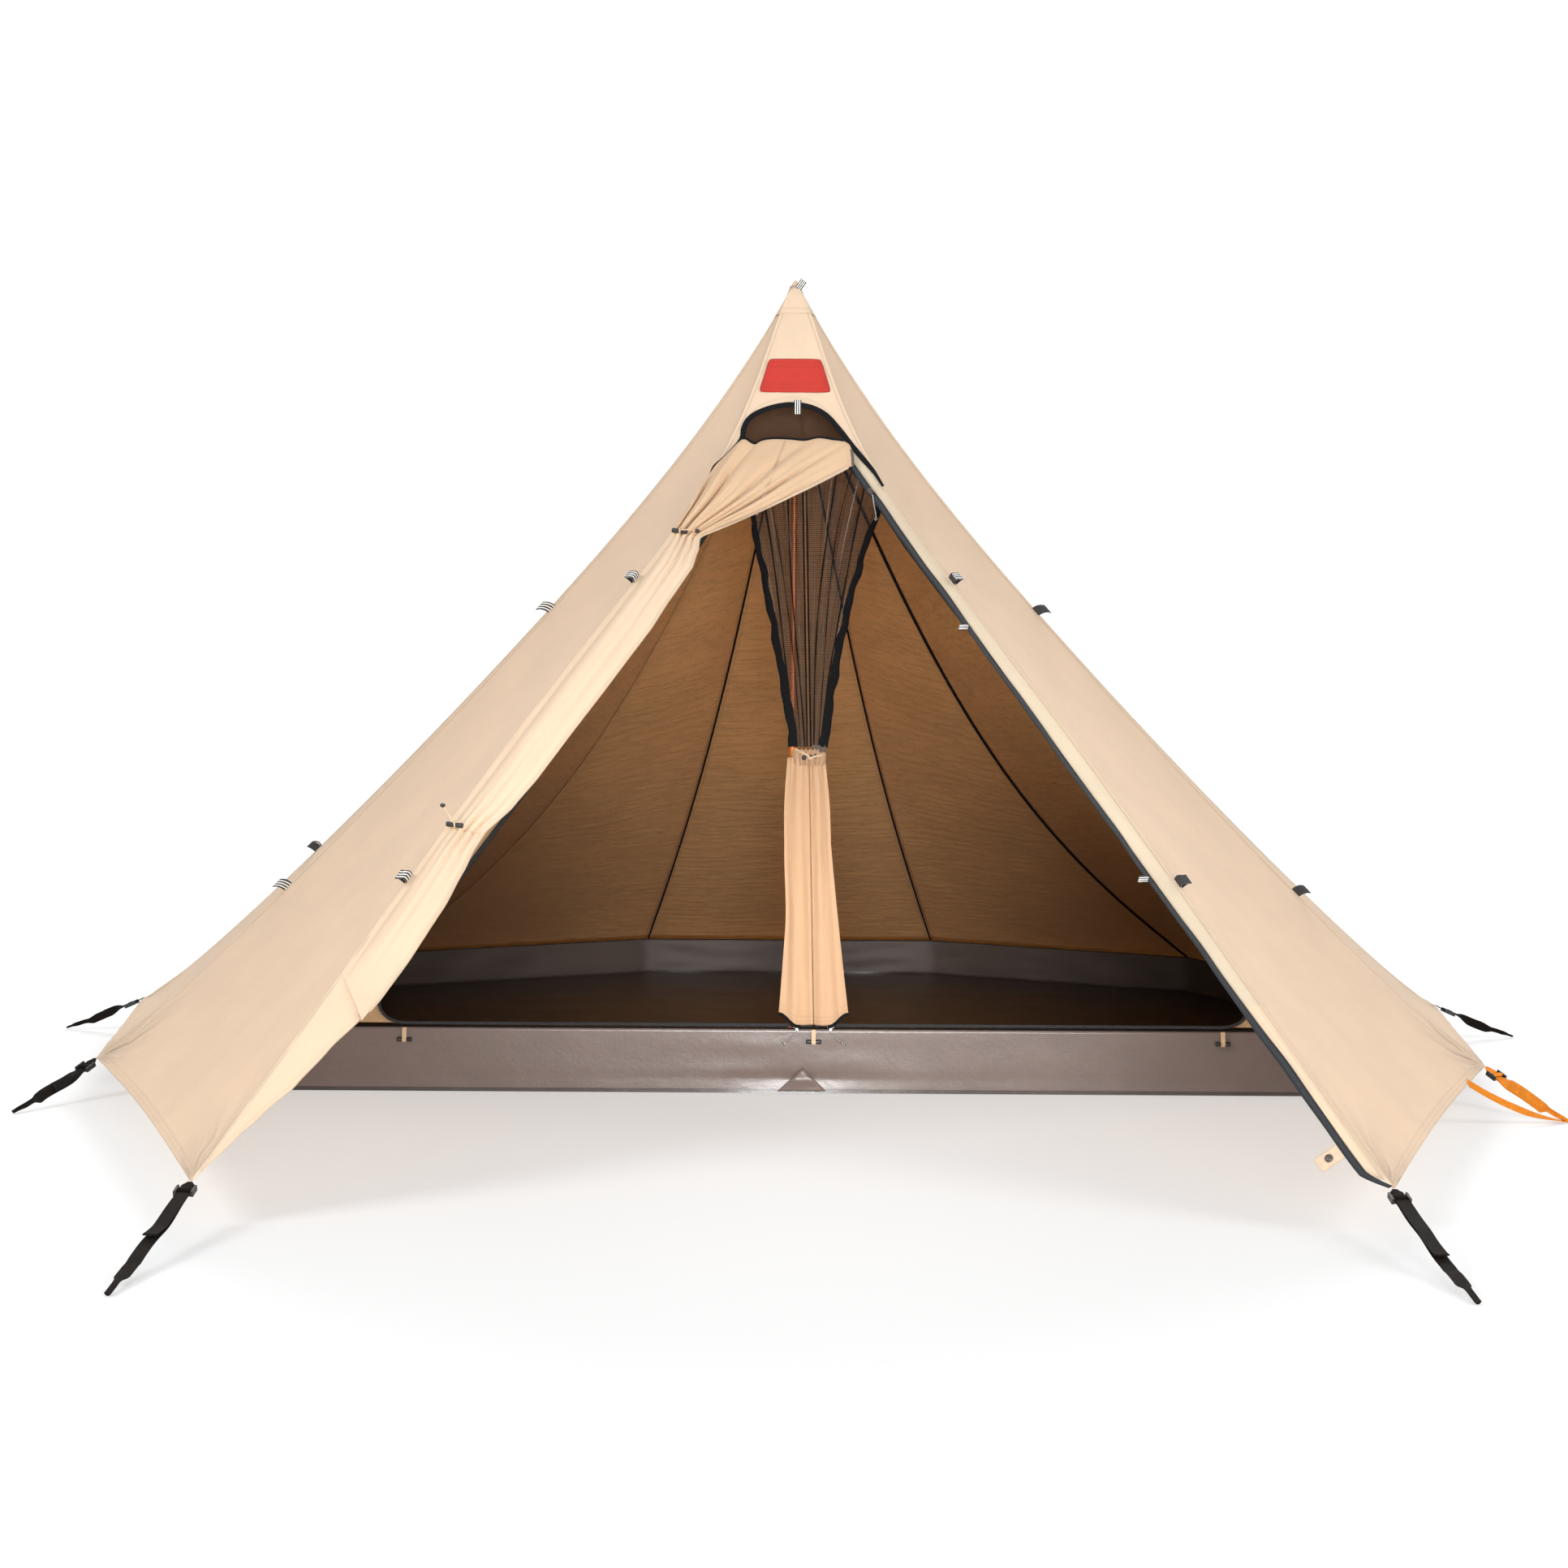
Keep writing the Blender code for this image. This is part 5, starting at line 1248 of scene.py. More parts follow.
def make_inner_fronts():
    low = SILL_HEIGHT + OPENING_CORNER_RADIUS
    heights = [*np.linspace(INNER_APEX - 0.004, OPENING_TOP, 10), *np.linspace(OPENING_TOP, low, 60)[1:],
               *corner_heights(0, pi / 2, 14)[1:]]
    columns = 14
    for side_name, side in SIDES.items():
        seam = INNER_SEAM["mid", side]
        points = np.zeros((len(heights), columns + 1, 3))
        edge = np.zeros((len(heights), columns + 1, 2))
        for i, height in enumerate(heights):
            outer = abs(seam.at_height(height).x)
            inner = 0.0002 if height >= OPENING_TOP else max(opening_edge(height, side), 0.0002)
            middle = doorway_middle(height)
            outer = max(outer - side * middle, inner + 0.004)
            for k in range(columns + 1):
                s = k / columns
                x = inner + (outer - inner) * s
                calm = sin(pi * s)
                y = front_plane_y(height) + calm * wrinkle((x * 9, height * 5, 2.0 + side), 1.0) * 0.006
                y -= calm * 0.002 * sin(height * 30 + x * 12)
                points[i, k] = (middle + side * x, y, height)
                edge[i, k] = ((outer - x), x - inner)
        front = cloth(f"inner_front_{side_name}_cloth", points, INNER_SAND, (f"inner_front_{side_name}",),
                      to_front, edge=edge)
        front.data.materials.append(INNER_SHADE)
        for face in front.data.polygons:
            face.material_index = int(face.center.z > SHADE_FROM)
        line = [(opening_edge(h, side), h) for h in np.linspace(OPENING_TOP - 0.004, low, 60)]
        line += [(opening_side_x(h), h) for h in corner_heights(0.1, pi / 2 - 0.02, 12)]
        line += [(x, SILL_HEIGHT) for x in np.linspace(OPENING_CORNER_X - 0.15, 0.004, 40)]
        centre, across, normal = [], [], []
        for k, (x, height) in enumerate(line):
            before, after = line[max(k - 1, 0)], line[min(k + 1, len(line) - 1)]
            ahead = Vector((side * (after[0] - before[0]), 0, after[1] - before[1])).normalized()
            across.append(Vector((-ahead.z, 0, ahead.x)))
            normal.append(Vector((0, -1, 0)))
            centre.append(Vector((doorway_middle(height) + side * x,
                                  front_plane_y(height) - 0.0018 - 0.0006 * sin(k * 0.9), height)))
        widths = [0.0065 + 0.0040 * soft_step((p.z - SILL_HEIGHT - 0.03) / 0.06) for p in centre]
        ribbon(f"inner_zip_{side_name}_tape", centre, across, normal, widths, 0.0016, ZIP,
               replaced=(f"inner_zip_{side_name}",))


FLOOR_LIFT = 0.0012
FLOOR_TOP = 0.008
WALL_FOLD = 0.22
FOLDED_FROM = 0.12
RING_STEPS = 36
WALL_PATCH = ((-0.028, 0.006), (0.078, 0.006), (0.026, 0.058))


def wall_fold(share):
    """The lengthwise fold of the front wall, 0 to 1, at a share of its height."""
    return exp(-((share - WALL_FOLD) / 0.07) ** 2)


def make_floor():
    """The tub: a creased floor and walls turned up all round, with a rolled top seam."""
    order = [(p, 1) for p in INNER_BOW] + [(p, -1) for p in reversed(INNER_BOW)]
    corners = [Vector((*inner_corner(p, s), 0)) for p, s in order]
    tops = [FRONT_WALL_HEIGHT if p == "mid" else BACK_WALL_HEIGHT for p, s in order]
    ring, height = [], []
    for k in range(len(corners)):
        n = (k + 1) % len(corners)
        for j in range(RING_STEPS):
            share = j / RING_STEPS
            ring.append(corners[k].lerp(corners[n], share))
            height.append(tops[k] + (tops[n] - tops[k]) * share)
    count = len(ring)
    middle = sum(ring, Vector()) / count
    rows = []
    for share in np.linspace(0.05, 1.0, 34):
        row = []
        for p in ring:
            q = middle.lerp(p, share)
            lift = FLOOR_LIFT + 0.0030 * max(wrinkle((q.x * 6, q.y * 6, 1.0), 1.0), 0.0) * (1 - share ** 8)
            row.append(Vector((q.x, q.y, lift)))
        rows.append(row)
    for share in np.linspace(0.0, 1.0, 17)[1:]:
        row = []
        for j, p in enumerate(ring):
            out = p.normalized()
            edge_calm = sin(pi * share) ** 0.6
            corner_calm = min(min(j % RING_STEPS, RING_STEPS - j % RING_STEPS) / 3, 1.0)
            wave = wrinkle((p.x * 7, p.y * 7, share * 3), 1.0) * 0.0050 + sin(j * 0.55 + share * 3) * 0.0012
            fold = -0.0045 * wall_fold(share) if height[j] > FOLDED_FROM else 0.0
            row.append(p - out * (0.0015 - wave * edge_calm * corner_calm - fold)
                       + Vector((0, 0, FLOOR_LIFT + (height[j] - FLOOR_LIFT) * share)))
        rows.append(row)
    points = np.array(rows)
    cut = np.stack([points[..., 0], points[..., 1] + points[..., 2]], axis=2)
    mesh = grid_mesh("floor", points, cut, None, lambda a: np.tile([0.0, 0.0, 1.0], (len(a), 1)), loop=True)
    bm = bmesh.new()
    bm.from_mesh(mesh)
    bm.verts.ensure_lookup_table()
    bm.faces.new([bm.verts[j] for j in range(count)])
    bmesh.ops.recalc_face_normals(bm, faces=bm.faces)
    bm.to_mesh(mesh)
    bm.free()
    ob = finish_mesh("floor_tub_cloth", mesh, TUB, thick=0.0010, offset=-1.0)
    # The floor and the back walls take the painted-shade copies of the coated cloth.
    mesh.materials.append(TUB_FLOOR_SHADED)
    mesh.materials.append(TUB_BACK_SHADED)
    for face in mesh.polygons:
        face.material_index = 1 if face.center.z < FLOOR_TOP else 2 if face.center.y > 0.0 else 0
    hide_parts("floor_tub")
    rim = [p - p.normalized() * 0.001 + Vector((0, 0, h)) for p, h in zip(ring, height)]
    tube("floor_rim_seam", rim + rim[:1], 0.0018, BINDING, sides=6)


def make_wall_patch():
    """The three-cornered patch on the tub's front wall."""
    bm = bmesh.new()
    steps = 10
    grid = {}
    for a in range(steps + 1):
        for b in range(steps + 1 - a):
            shares = (steps - a - b, a, b)
            x = sum(n * corner[0] for n, corner in zip(shares, WALL_PATCH)) / steps
            z = sum(n * corner[1] for n, corner in zip(shares, WALL_PATCH)) / steps
            y = FRONT_WALL_Y - 0.0035 - 0.0045 * wall_fold(z / FRONT_WALL_HEIGHT)
            y -= 0.0030 * abs(wrinkle((x * 30, z * 30, 4.0), 1.0))
            grid[a, b] = bm.verts.new((x, y, z))
    for a in range(steps):
        for b in range(steps - a):
            bm.faces.new((grid[a, b], grid[a + 1, b], grid[a, b + 1]))
            if a + b < steps - 1:
                bm.faces.new((grid[a + 1, b], grid[a + 1, b + 1], grid[a, b + 1]))
    bmesh.ops.recalc_face_normals(bm, faces=bm.faces)
    mesh = from_bm("triangle", bm)
    add_map(mesh, "cut", [(v.co.x, v.co.z) for v in mesh.vertices])
    piece = finish_mesh("floor_wall_patch", mesh, TUB, thick=0.0010, offset=0.0)


# Inner doors: netting above the tie, cloth below it
INNER_DOOR_TOP = OPENING_TOP - 0.03
INNER_DOOR_FOOT = SILL_HEIGHT + 0.012
NET_FOOT = INNER_TIE_HEIGHT + 0.022
TIE_HALF = 0.034
NET_STEPS = 41


def door_face_y(height):
    return front_plane_y(height) - 0.0043


def net_half_width(height, side):
    share = min(max((height - INNER_TIE_HEIGHT) / (INNER_DOOR_TOP - INNER_TIE_HEIGHT), 0.0), 1.0)
    return (TIE_HALF + (0.1425 - TIE_HALF) * share ** 1.15) * (1 + (0.50 * share ** 2 if side > 0 else 0.0))


def cloth_half_width(height):
    share = (INNER_TIE_HEIGHT - height) / (INNER_TIE_HEIGHT - INNER_DOOR_FOOT)
    share = min(max(share, 0.0), 1.0)
    return TIE_HALF + 0.004 * sin(pi * min(share * 3, 1.0)) + 0.043 * share ** 1.3


def at_doorway(height, aside, out):
    """A point aside from the doorway's middle line and in front of the inner door's face."""
    return Vector((doorway_middle(height) + aside, door_face_y(height) - out, height))


def net_height(k, steps):
    return INNER_DOOR_TOP + (NET_FOOT - INNER_DOOR_TOP) * k / steps


def make_inner_net(side_name, side):
    rows, columns = 60, 48
    replaced = f"inner_door_{side_name}"
    points, cut, _ = blank_grid(rows, columns)
    for i in range(rows + 1):
        height = net_height(i, rows)
        half = net_half_width(height, side)
        for k in range(columns + 1):
            s = k / columns
            wave = 0.0050 * (1 + sin(2 * pi * (3.3 * s + 0.3 * sin(i * 0.05) + 0.2 * side))) * (0.5 + 0.5 * s)
            wave += 0.0018 * sin(2 * pi * (8.2 * s + 0.6 * sin(i * 0.03)))
            x = 0.0012 + (half - 0.0012) * s ** 0.9
            points[i, k] = at_doorway(height, side * x, max(wave, 0.0002))
            cut[i, k] = (s * 0.62, i / rows * 0.64)
    mesh = grid_mesh(f"net_{side_name}", points, cut, None, to_front)
    ob = finish_mesh(f"inner_door_net_{side_name}", mesh, NET)
    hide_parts(replaced)
    steps = range(NET_STEPS)
    heights = [net_height(k, NET_STEPS - 1) for k in steps]
    centre = []
    for k, height in enumerate(heights):
        half = net_half_width(height, side) + (0.0016 * sin(k * 0.9) + 0.0012 * sin(k * 1.7)) * side
        centre.append(at_doorway(height, side * (half - 0.004), 0.0095 + 0.0010 * sin(k * 0.5)))
    facing = Vector((0.15 * side, -1, 0)).normalized()
    across = [facing.cross(direction(centre, k)).normalized() for k in steps]
    widths = [0.0105 + 0.0095 * (k / (NET_STEPS - 1)) + 0.0018 * sin(k * 1.3) for k in steps]
    ribbon(f"inner_door_border_{side_name}", centre, across, [facing] * NET_STEPS, widths, 0.0012, BINDING,
           bulge=0.0030, replaced=(replaced,))
    for number, (share, wide) in enumerate(((0.30, 0.004), (0.52, 0.0026), (0.74, 0.0045))):
        fold = []
        for k, height in enumerate(heights):
            drift = 0.05 * sin(k * 0.13 + number * 2 + side)
            fold.append(at_doorway(height, side * net_half_width(height, side) * (share + drift), 0.0118))
        widths = [wide * (0.6 + 0.4 * sin(k * 0.3 + number) ** 2) for k in steps]
        ribbon(f"inner_door_net_fold_{side_name}_{number}", fold, [Vector((1, 0, 0))] * NET_STEPS,
               [Vector((0, -1, 0))] * NET_STEPS, widths, 0.0006, NET_FOLD)
    inner_edge = [at_doorway(h, side * 0.004, 0.004) for h in np.linspace(INNER_DOOR_TOP, NET_FOOT, 30)]
    tube(f"inner_door_edge_{side_name}", inner_edge, 0.0018, BINDING, sides=6)


def make_inner_door_cloth(side_name, side):
    rows, columns = 110, 44
    points = np.zeros((rows + 1, columns + 1, 3))
    for i in range(rows + 1):
        share = i / rows
        for k in range(columns + 1):
            s = k / columns
            foot = SILL_HEIGHT + 0.001 + 0.026 * soft_step((s - 0.42) / 0.58) * share ** 6
            height = INNER_TIE_HEIGHT - 0.002 + (foot - INNER_TIE_HEIGHT + 0.002) * share
            half = cloth_half_width(height) + (0.013 * soft_step((height - 0.36) / 0.20) if side < 0 else 0.0)
            pinch = exp(-share / 0.05)
            wave = (1 - pinch * 0.6) * (0.0066 * (1 + cos(2 * pi * (0.98 * s - 0.42 + 0.10 * share * side)))
                                        + 0.0016 * sin(2 * pi * (2.6 * s + 0.8 * share)) * share)
            wave += pinch * 0.0022 * (1 + sin(2 * pi * 4.4 * s + side))
            wave += 0.0009 * wrinkle((s * 5, share * 9, side * 2.0), 1.0)
            x = 0.0008 + (half - 0.0008) * s
            points[i, k] = at_doorway(height, side * x, max(wave, 0.0001))
    across, along = arc_lengths(points)
    edge = np.stack([np.ones_like(along), along[-1:] - along], axis=2)
    cloth(f"inner_door_cloth_{side_name}", points, DOOR_CLOTH, (f"inner_door_{side_name}",), to_front,
          np.stack([across, along], axis=2), edge, thick=0.0010)
    hem = [Vector(p) + Vector((0, -0.0020, -0.0022)) for p in points[-1, int(columns * 0.40):]]
    tube(f"inner_door_black_edge_{side_name}", hem, 0.0036, BINDING, sides=8)
    seam = [Vector(p) + Vector((side * 0.0006, -0.0012, 0)) for p in points[2:rows - 1, 0]]
    tube(f"inner_door_seam_{side_name}", seam, 0.0011, DOOR_CLOTH, sides=6)


def make_inner_doors():
    for side_name, side in SIDES.items():
        make_inner_net(side_name, side)
        make_inner_door_cloth(side_name, side)
    centre, across, normal = [], [], []
    for k in range(31):
        s = k / 30
        aside = Vector((0.006 + 0.030 * s, -0.012 - 0.0016 * sin(s * 14), -0.004))
        centre.append(at_doorway(NET_FOOT, 0.0, 0.0) + aside)
        across.append(Vector((0, 0, 1)))
        normal.append(Vector((0.3 * cos(s * 14), -1, 0)).normalized())
    ribbon("net_hem_band", centre, across, normal, 0.016, 0.0010, GREY)
    rows, columns = 12, 72
    ruffle = np.zeros((rows + 1, columns + 1, 3))
    for i in range(rows + 1):
        for k in range(columns + 1):
            s = k / columns * 2 - 1
            fall = i / rows
            fold = 0.0035 * sin(s * 19 + 1.5 * fall) * (0.5 + fall * 0.5)
            rim = (1 - s * s) ** 0.5
            ruffle[i, k] = (doorway_middle(INNER_TIE_HEIGHT) + s * (0.0345 + 0.0025 * sin(fall * pi * 1.2)),
                            door_face_y(INNER_TIE_HEIGHT) - 0.002 - 0.011 * rim + fold * rim,
                            INNER_TIE_HEIGHT + 0.016 - 0.034 * fall + 0.002 * sin(s * 23))
    cloth("inner_door_gather", ruffle, DOOR_CLOTH, (), to_front, thick=0.0010)


# Straps
def webbing(name, sections, mat, body, frame_matrix, replaced=()):
    """Webbing through sections (x, y, z, width, thickness, curl), in the strap's own frame."""
    rows, cut = [], []
    run = 0.0
    for i, (x, y, z, width, thick, curl, *more) in enumerate(sections):
        roll = more[0] if more else 0.0
        if i:
            q = sections[i - 1]
            run += hypot(x - q[0], z - q[2])
        top, low, top_uv = [], [], []
        for k in range(9):
            s = k / 8 * 2 - 1
            lift = curl * s * s
            rim = 1 - 0.35 * abs(s) ** 6
            for made, up in ((top, lift + thick * rim), (low, lift + thick * (1 - rim))):
                flat = s * width / 2
                made.append(frame_matrix @ Vector((x, y + flat * cos(roll) - up * sin(roll),
                                                   z + flat * sin(roll) + up * cos(roll))))
            top_uv.append((s * width / 2, run))
        rows.append(top + low[::-1])
        cut.append(top_uv + top_uv[::-1])
    mesh = closed_mesh(name, rows, cut)
    ob = finish_mesh(name, mesh, mat, body, angle=40)
    if replaced:
        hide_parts(*replaced)
    return ob


STRAP_DROP = CORNER_HEIGHT - 0.0006
STRAP_FLOOR = 0.0009 - STRAP_DROP
STRAP_TWIST = {"side": 1.05, "mid": 0.75}
STRAP_HALF = 0.0125
WEB_WIDTH, WEB_THICK = 0.0246, 0.0015
TAIL_START = 0.0475
LOCK_MID = 0.034


def make_strap(name, put, reach, mat, body, twist, seed):
    """One corner strap along x: lower webbing, tail, loop over the buckle's bar and sewn tack."""
    narrow = reach - 0.055

    def height(x):
        return -STRAP_DROP * (max(x, 0.0) / reach) ** 0.85

    def roll_at(x):
        return twist * soft_step((x - 0.050) / 0.035) * (1 - soft_step((x - reach + 0.035) / 0.030))

    def wave_at(x):
        return 0.0022 * sin(x * 34 + seed) * sin(pi * min(x / narrow, 1.0))

    def aside_at(x):
        return 0.0016 * sin(x * 15 + seed) * sin(pi * x / reach)

    lower = [(0.0, 0, -0.0004, 0.003, 0.0008, 0), (0.006, 0, height(0.006), 0.010, 0.0014, 0),
             (0.014, 0, height(0.014), 0.018, WEB_THICK, 0),
             (0.020, 0, height(0.020), WEB_WIDTH, WEB_THICK, 0)]
    crease = reach * 0.70
    steps = 46
    for k in range(1, steps + 1):
        x = 0.020 + (reach - 0.002 - 0.020) * k / steps
        fold = soft_step((x - narrow + 0.022) / 0.022)
        bend = -0.0014 * exp(-((x - crease) / 0.010) ** 2)
        width = 0.0250 * (1 - fold) + 0.0115 * fold
        roll = roll_at(x)
        z = max(height(x) + wave_at(x) * (1 - fold) + bend, STRAP_FLOOR + width / 2 * abs(sin(roll)))
        lower.append((x, aside_at(x), z, width, WEB_THICK + 0.0012 * fold, 0.0035 * fold, roll))
    webbing(name + "_webbing", lower, mat, body, put, (name,))
    tail = []
    end = reach * (0.56 + 0.05 * sin(seed * 2))
    for k in range(34):
        x = TAIL_START + (end - TAIL_START) * k / 33
        lift = 0.0018 + 0.0030 * sin(pi * k / 33) ** 2 + 0.0050 * soft_step((k - 22) / 11)
        roll = roll_at(x)
        if twist:
            lift = 0.0020
        z = max(height(x) + wave_at(x), STRAP_FLOOR + STRAP_HALF * abs(sin(roll)))
        y = aside_at(x) + 0.0012 * sin(x * 22)
        tail.append((x, y - lift * sin(roll), z + lift * cos(roll), WEB_WIDTH, WEB_THICK, 0, roll))
    webbing(name + "_tail", tail, mat, body, put)
    if not twist:
        x, y, z = tail[-1][:3]
        fold = [(x - 0.018, y, z + 0.0015, 0.0236, 0.0013, 0), (x - 0.009, y, z + 0.0018, 0.0236, 0.0015, 0),
                (x - 0.001, y, z + 0.0016, 0.0238, 0.0016, 0), (x + 0.0012, y, z + 0.0004, 0.0238, 0.0014, 0)]
        webbing(name + "_tail_fold", fold, mat, body, put)
    around = []
    for k in range(19):
        a = pi * k / 18
        x = LOCK_MID - 0.0005 + 0.0042 * cos(a) * 1.6
        around.append((x, 0, height(LOCK_MID) + 0.0010 + 0.0046 * sin(a), 0.0240, 0.0013, 0))
    webbing(name + "_over_bar", around, mat, body, put)
    tack = []
    for k in range(13):
        x = 0.003 + 0.019 * k / 12
        tack.append((x, 0, height(x) + 0.0014, 0.010 + 0.013 * soft_step(k / 8), 0.0012, 0))
    webbing(name + "_tack", tack, mat, body, put)


def make_straps():
    for side_name, side in SIDES.items():
        for place, (dx, dy) in STRAPS.items():
            heading = Vector((side * dx, dy))
            reach = heading.length
            seat = 0.0018 if place == "mid" else 0.0010
            pivot = FLY_SEAM[place, side].at(1.0) + Vector((*(heading / reach * seat), 0))
            put = Matrix.Translation(pivot) @ Matrix.Rotation(atan2(heading.y, heading.x), 4, "Z")
            name = f"strap_{place}_{side_name}"
            mat = WEB_ORANGE if place == "mid" and side > 0 else WEB
            seed = 3.0 * list(STRAPS).index(place) + side
            make_strap(name, put, reach, mat, name + "_body", STRAP_TWIST.get(place, 0.0) * side, seed)


def make_second_leg():
    """The orange strap's second leg, from the hem to the same peg."""
    seam_a, seam_b = FRONT_RIGHT, FLY_SEAM["mid", 1]
    hem = seam_a.at(0.996).lerp(seam_b.at(0.996), 0.80)
    tip = seam_b.at(1.0) + Vector((0.115, -0.211, 0.0022 - CORNER_HEIGHT))
    points = smooth_path([hem + Vector((0.004, -0.004, 0.004)), hem.lerp(tip, 0.3) + Vector((0, 0, -0.006)),
                          hem.lerp(tip, 0.65) + Vector((0, 0, -0.010)), tip], 14)
    ahead = (tip - hem).normalized()
    level = Vector((-ahead.y, ahead.x, 0)).normalized()
    wide = 0.0235
    spans, normals = [], []
    for i, p in enumerate(points):
        lean = 0.62 * (1 - soft_step((i / (len(points) - 1) - 0.55) / 0.40))
        span = turned(level, Vector((0, 0, 1)), lean).normalized()
        span = (span - ahead * span.dot(ahead)).normalized()
        spans.append(span)
        normals.append(span.cross(ahead).normalized() * (1 if span.cross(ahead).z > 0 else -1))
        p.z = max(p.z, 0.0020 + wide / 2 * abs(span.z))
    leg = ribbon("strap_mid_right_second_leg", points, spans, normals, wide, 0.0015, WEB_ORANGE, body=None)
    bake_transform(leg)


# Loops, tabs, ties and patches
def tape_loop(name, root, out, along, length, width, droop, inside=True):
    """A loop of striped tape that stands out from root: `along` is across the tape's width.

    With inside, its inner face and the start of its upper band stay black.
    """
    out, along = Vector(out).normalized(), Vector(along).normalized()
    up = out.cross(along).normalized()
    up = up if up.z > 0 else -up
    gap = length * 0.26
    centre = []
    for k in range(41):
        a = 2 * pi * k / 40
        d, h = length / 2 * (1 - cos(a)), gap * sin(a) * (0.35 + 0.65 * sin(a / 2) ** 2)
        centre.append(Vector(root) + out * d + up * (h + 0.0008) - Vector((0, 0, droop * d * d / length)))
    rows, cut = [], []
    run = 0.0
    for i, p in enumerate(centre):
        if i:
            run += (p - centre[i - 1]).length
        rise = along.cross(direction(centre, i)).normalized() * 0.0006
        rows.append([p + along * s * width + rise for s in (-0.5, -0.25, 0, 0.25, 0.5)]
                    + [p + along * s * width - rise for s in (0.5, 0.25, 0, -0.25, -0.5)])
        shown = 0 if inside and i < 13 else 1
        cut.append([(s * shown, run) for s in (0, 0.25, 0.5, 0.75, 1.0)]
                   + [(0 if inside else s, run) for s in (1.0, 0.75, 0.5, 0.25, 0)])
    finish_mesh(name, closed_mesh(name, rows, cut), STRIPED, angle=60)


def seam_frame(seam, t):
    p = seam.at(t)
    ahead = seam.ahead(t)
    flat = Vector((p.x, p.y, 0)).normalized()
    out = (flat - ahead * flat.dot(ahead)).normalized()
    return p, ahead, out


GUY_LENGTH, GUY_WIDTH, GUY_DROOP = 0.040, 0.022, 0.45


def make_guy_loops():
    wanted = [("front", 1.11), ("front", 0.555), ("mid", 1.05), ("mid", 0.45), ("side", 0.475),
              ("rear", 1.05), ("rear", 0.45), ("back", 0.475)]
    for side_name, side in SIDES.items():
        for place, height in wanted:
            if place == "side" and side > 0:
                continue
            seam = FLY_SEAM[place, side]
            p, ahead, out = seam_frame(seam, seam.t_at_height(height))
            label = f"{place}_{'upper' if height > 0.8 else 'lower'}_{side_name}"
            tape_loop(f"guy_loop_{label}", p - out * 0.002, out, ahead, GUY_LENGTH, GUY_WIDTH, GUY_DROOP)


TAB_STEP = 0.0018


def make_small_tabs():
    tape_loop("apex_tab", Vector((0.006, -0.014, APEX_HEIGHT - 0.006)), (0.75, -0.25, 1), (1, 0.1, -0.8),
              0.020, 0.014, 0.0, inside=False)
    for label, x, z in (("upper", 0.345, 1.020), ("lower", 0.651, 0.563)):
        tape_loop(f"door_zip_loop_{label}", on_front(x, z, 0.001), (-1, -0.5, 0.25), (0.25, 0, 1),
                  0.020, 0.012, 0.2, inside=False)
    top = on_front(0.006, 1.4868)
    rows, cut = [], []
    for k in range(17):
        d = k / 16
        p = top + FRONT_NORMAL * (0.0065 + 0.0015 * sin(pi * d)) + Vector((0, 0, 0.006 - 0.030 * d))
        rows.append([p + Vector(((i / 4 - 0.5) * 0.015, 0, 0)) + FRONT_NORMAL * 0.0009 for i in range(5)]
                    + [p + Vector(((0.5 - i / 4) * 0.015, 0, 0)) for i in range(5)])
        cut.append([(i / 4, k * TAB_STEP) for i in range(5)] + [(1 - i / 4, k * TAB_STEP) for i in range(5)])
    finish_mesh("arch_tab", closed_mesh("arch_tab", rows, cut), STRIPED)


PATCH_TOP, PATCH_FOOT = 1.586, 1.512
PATCH_SHARE = 0.86


def make_front_patch():
    rows, columns = 24, 36
    patch, _, edge = blank_grid(rows, columns)
    middle, half = (PATCH_TOP + PATCH_FOOT) / 2, (PATCH_TOP - PATCH_FOOT) / 2
    for i in range(rows + 1):
        for k in range(columns + 1):
            u, v = k / columns * 2 - 1, i / rows * 2 - 1
            round_u = u * (1 - 0.045 * abs(v) ** 8)
            height = middle - half * v * (1 - 0.05 * abs(u) ** 8)
            outer = FRONT_RIGHT.at_height(height)
            wide = outer.x * PATCH_SHARE
            patch[i, k] = (round_u * wide, outer.y - 0.0032 - 0.0008 * sin(9 * u + 3 * v), height)
            edge[i, k] = ((1 - abs(u)) * wide, (1 - abs(v)) * half)
    cloth("front_patch", patch, RED, (), to_front, edge=edge, thick=0.0010)


CAP_REACH = 0.0369 * 0.85
CAP_RINGS = 12
SEAM_STEPS = 6


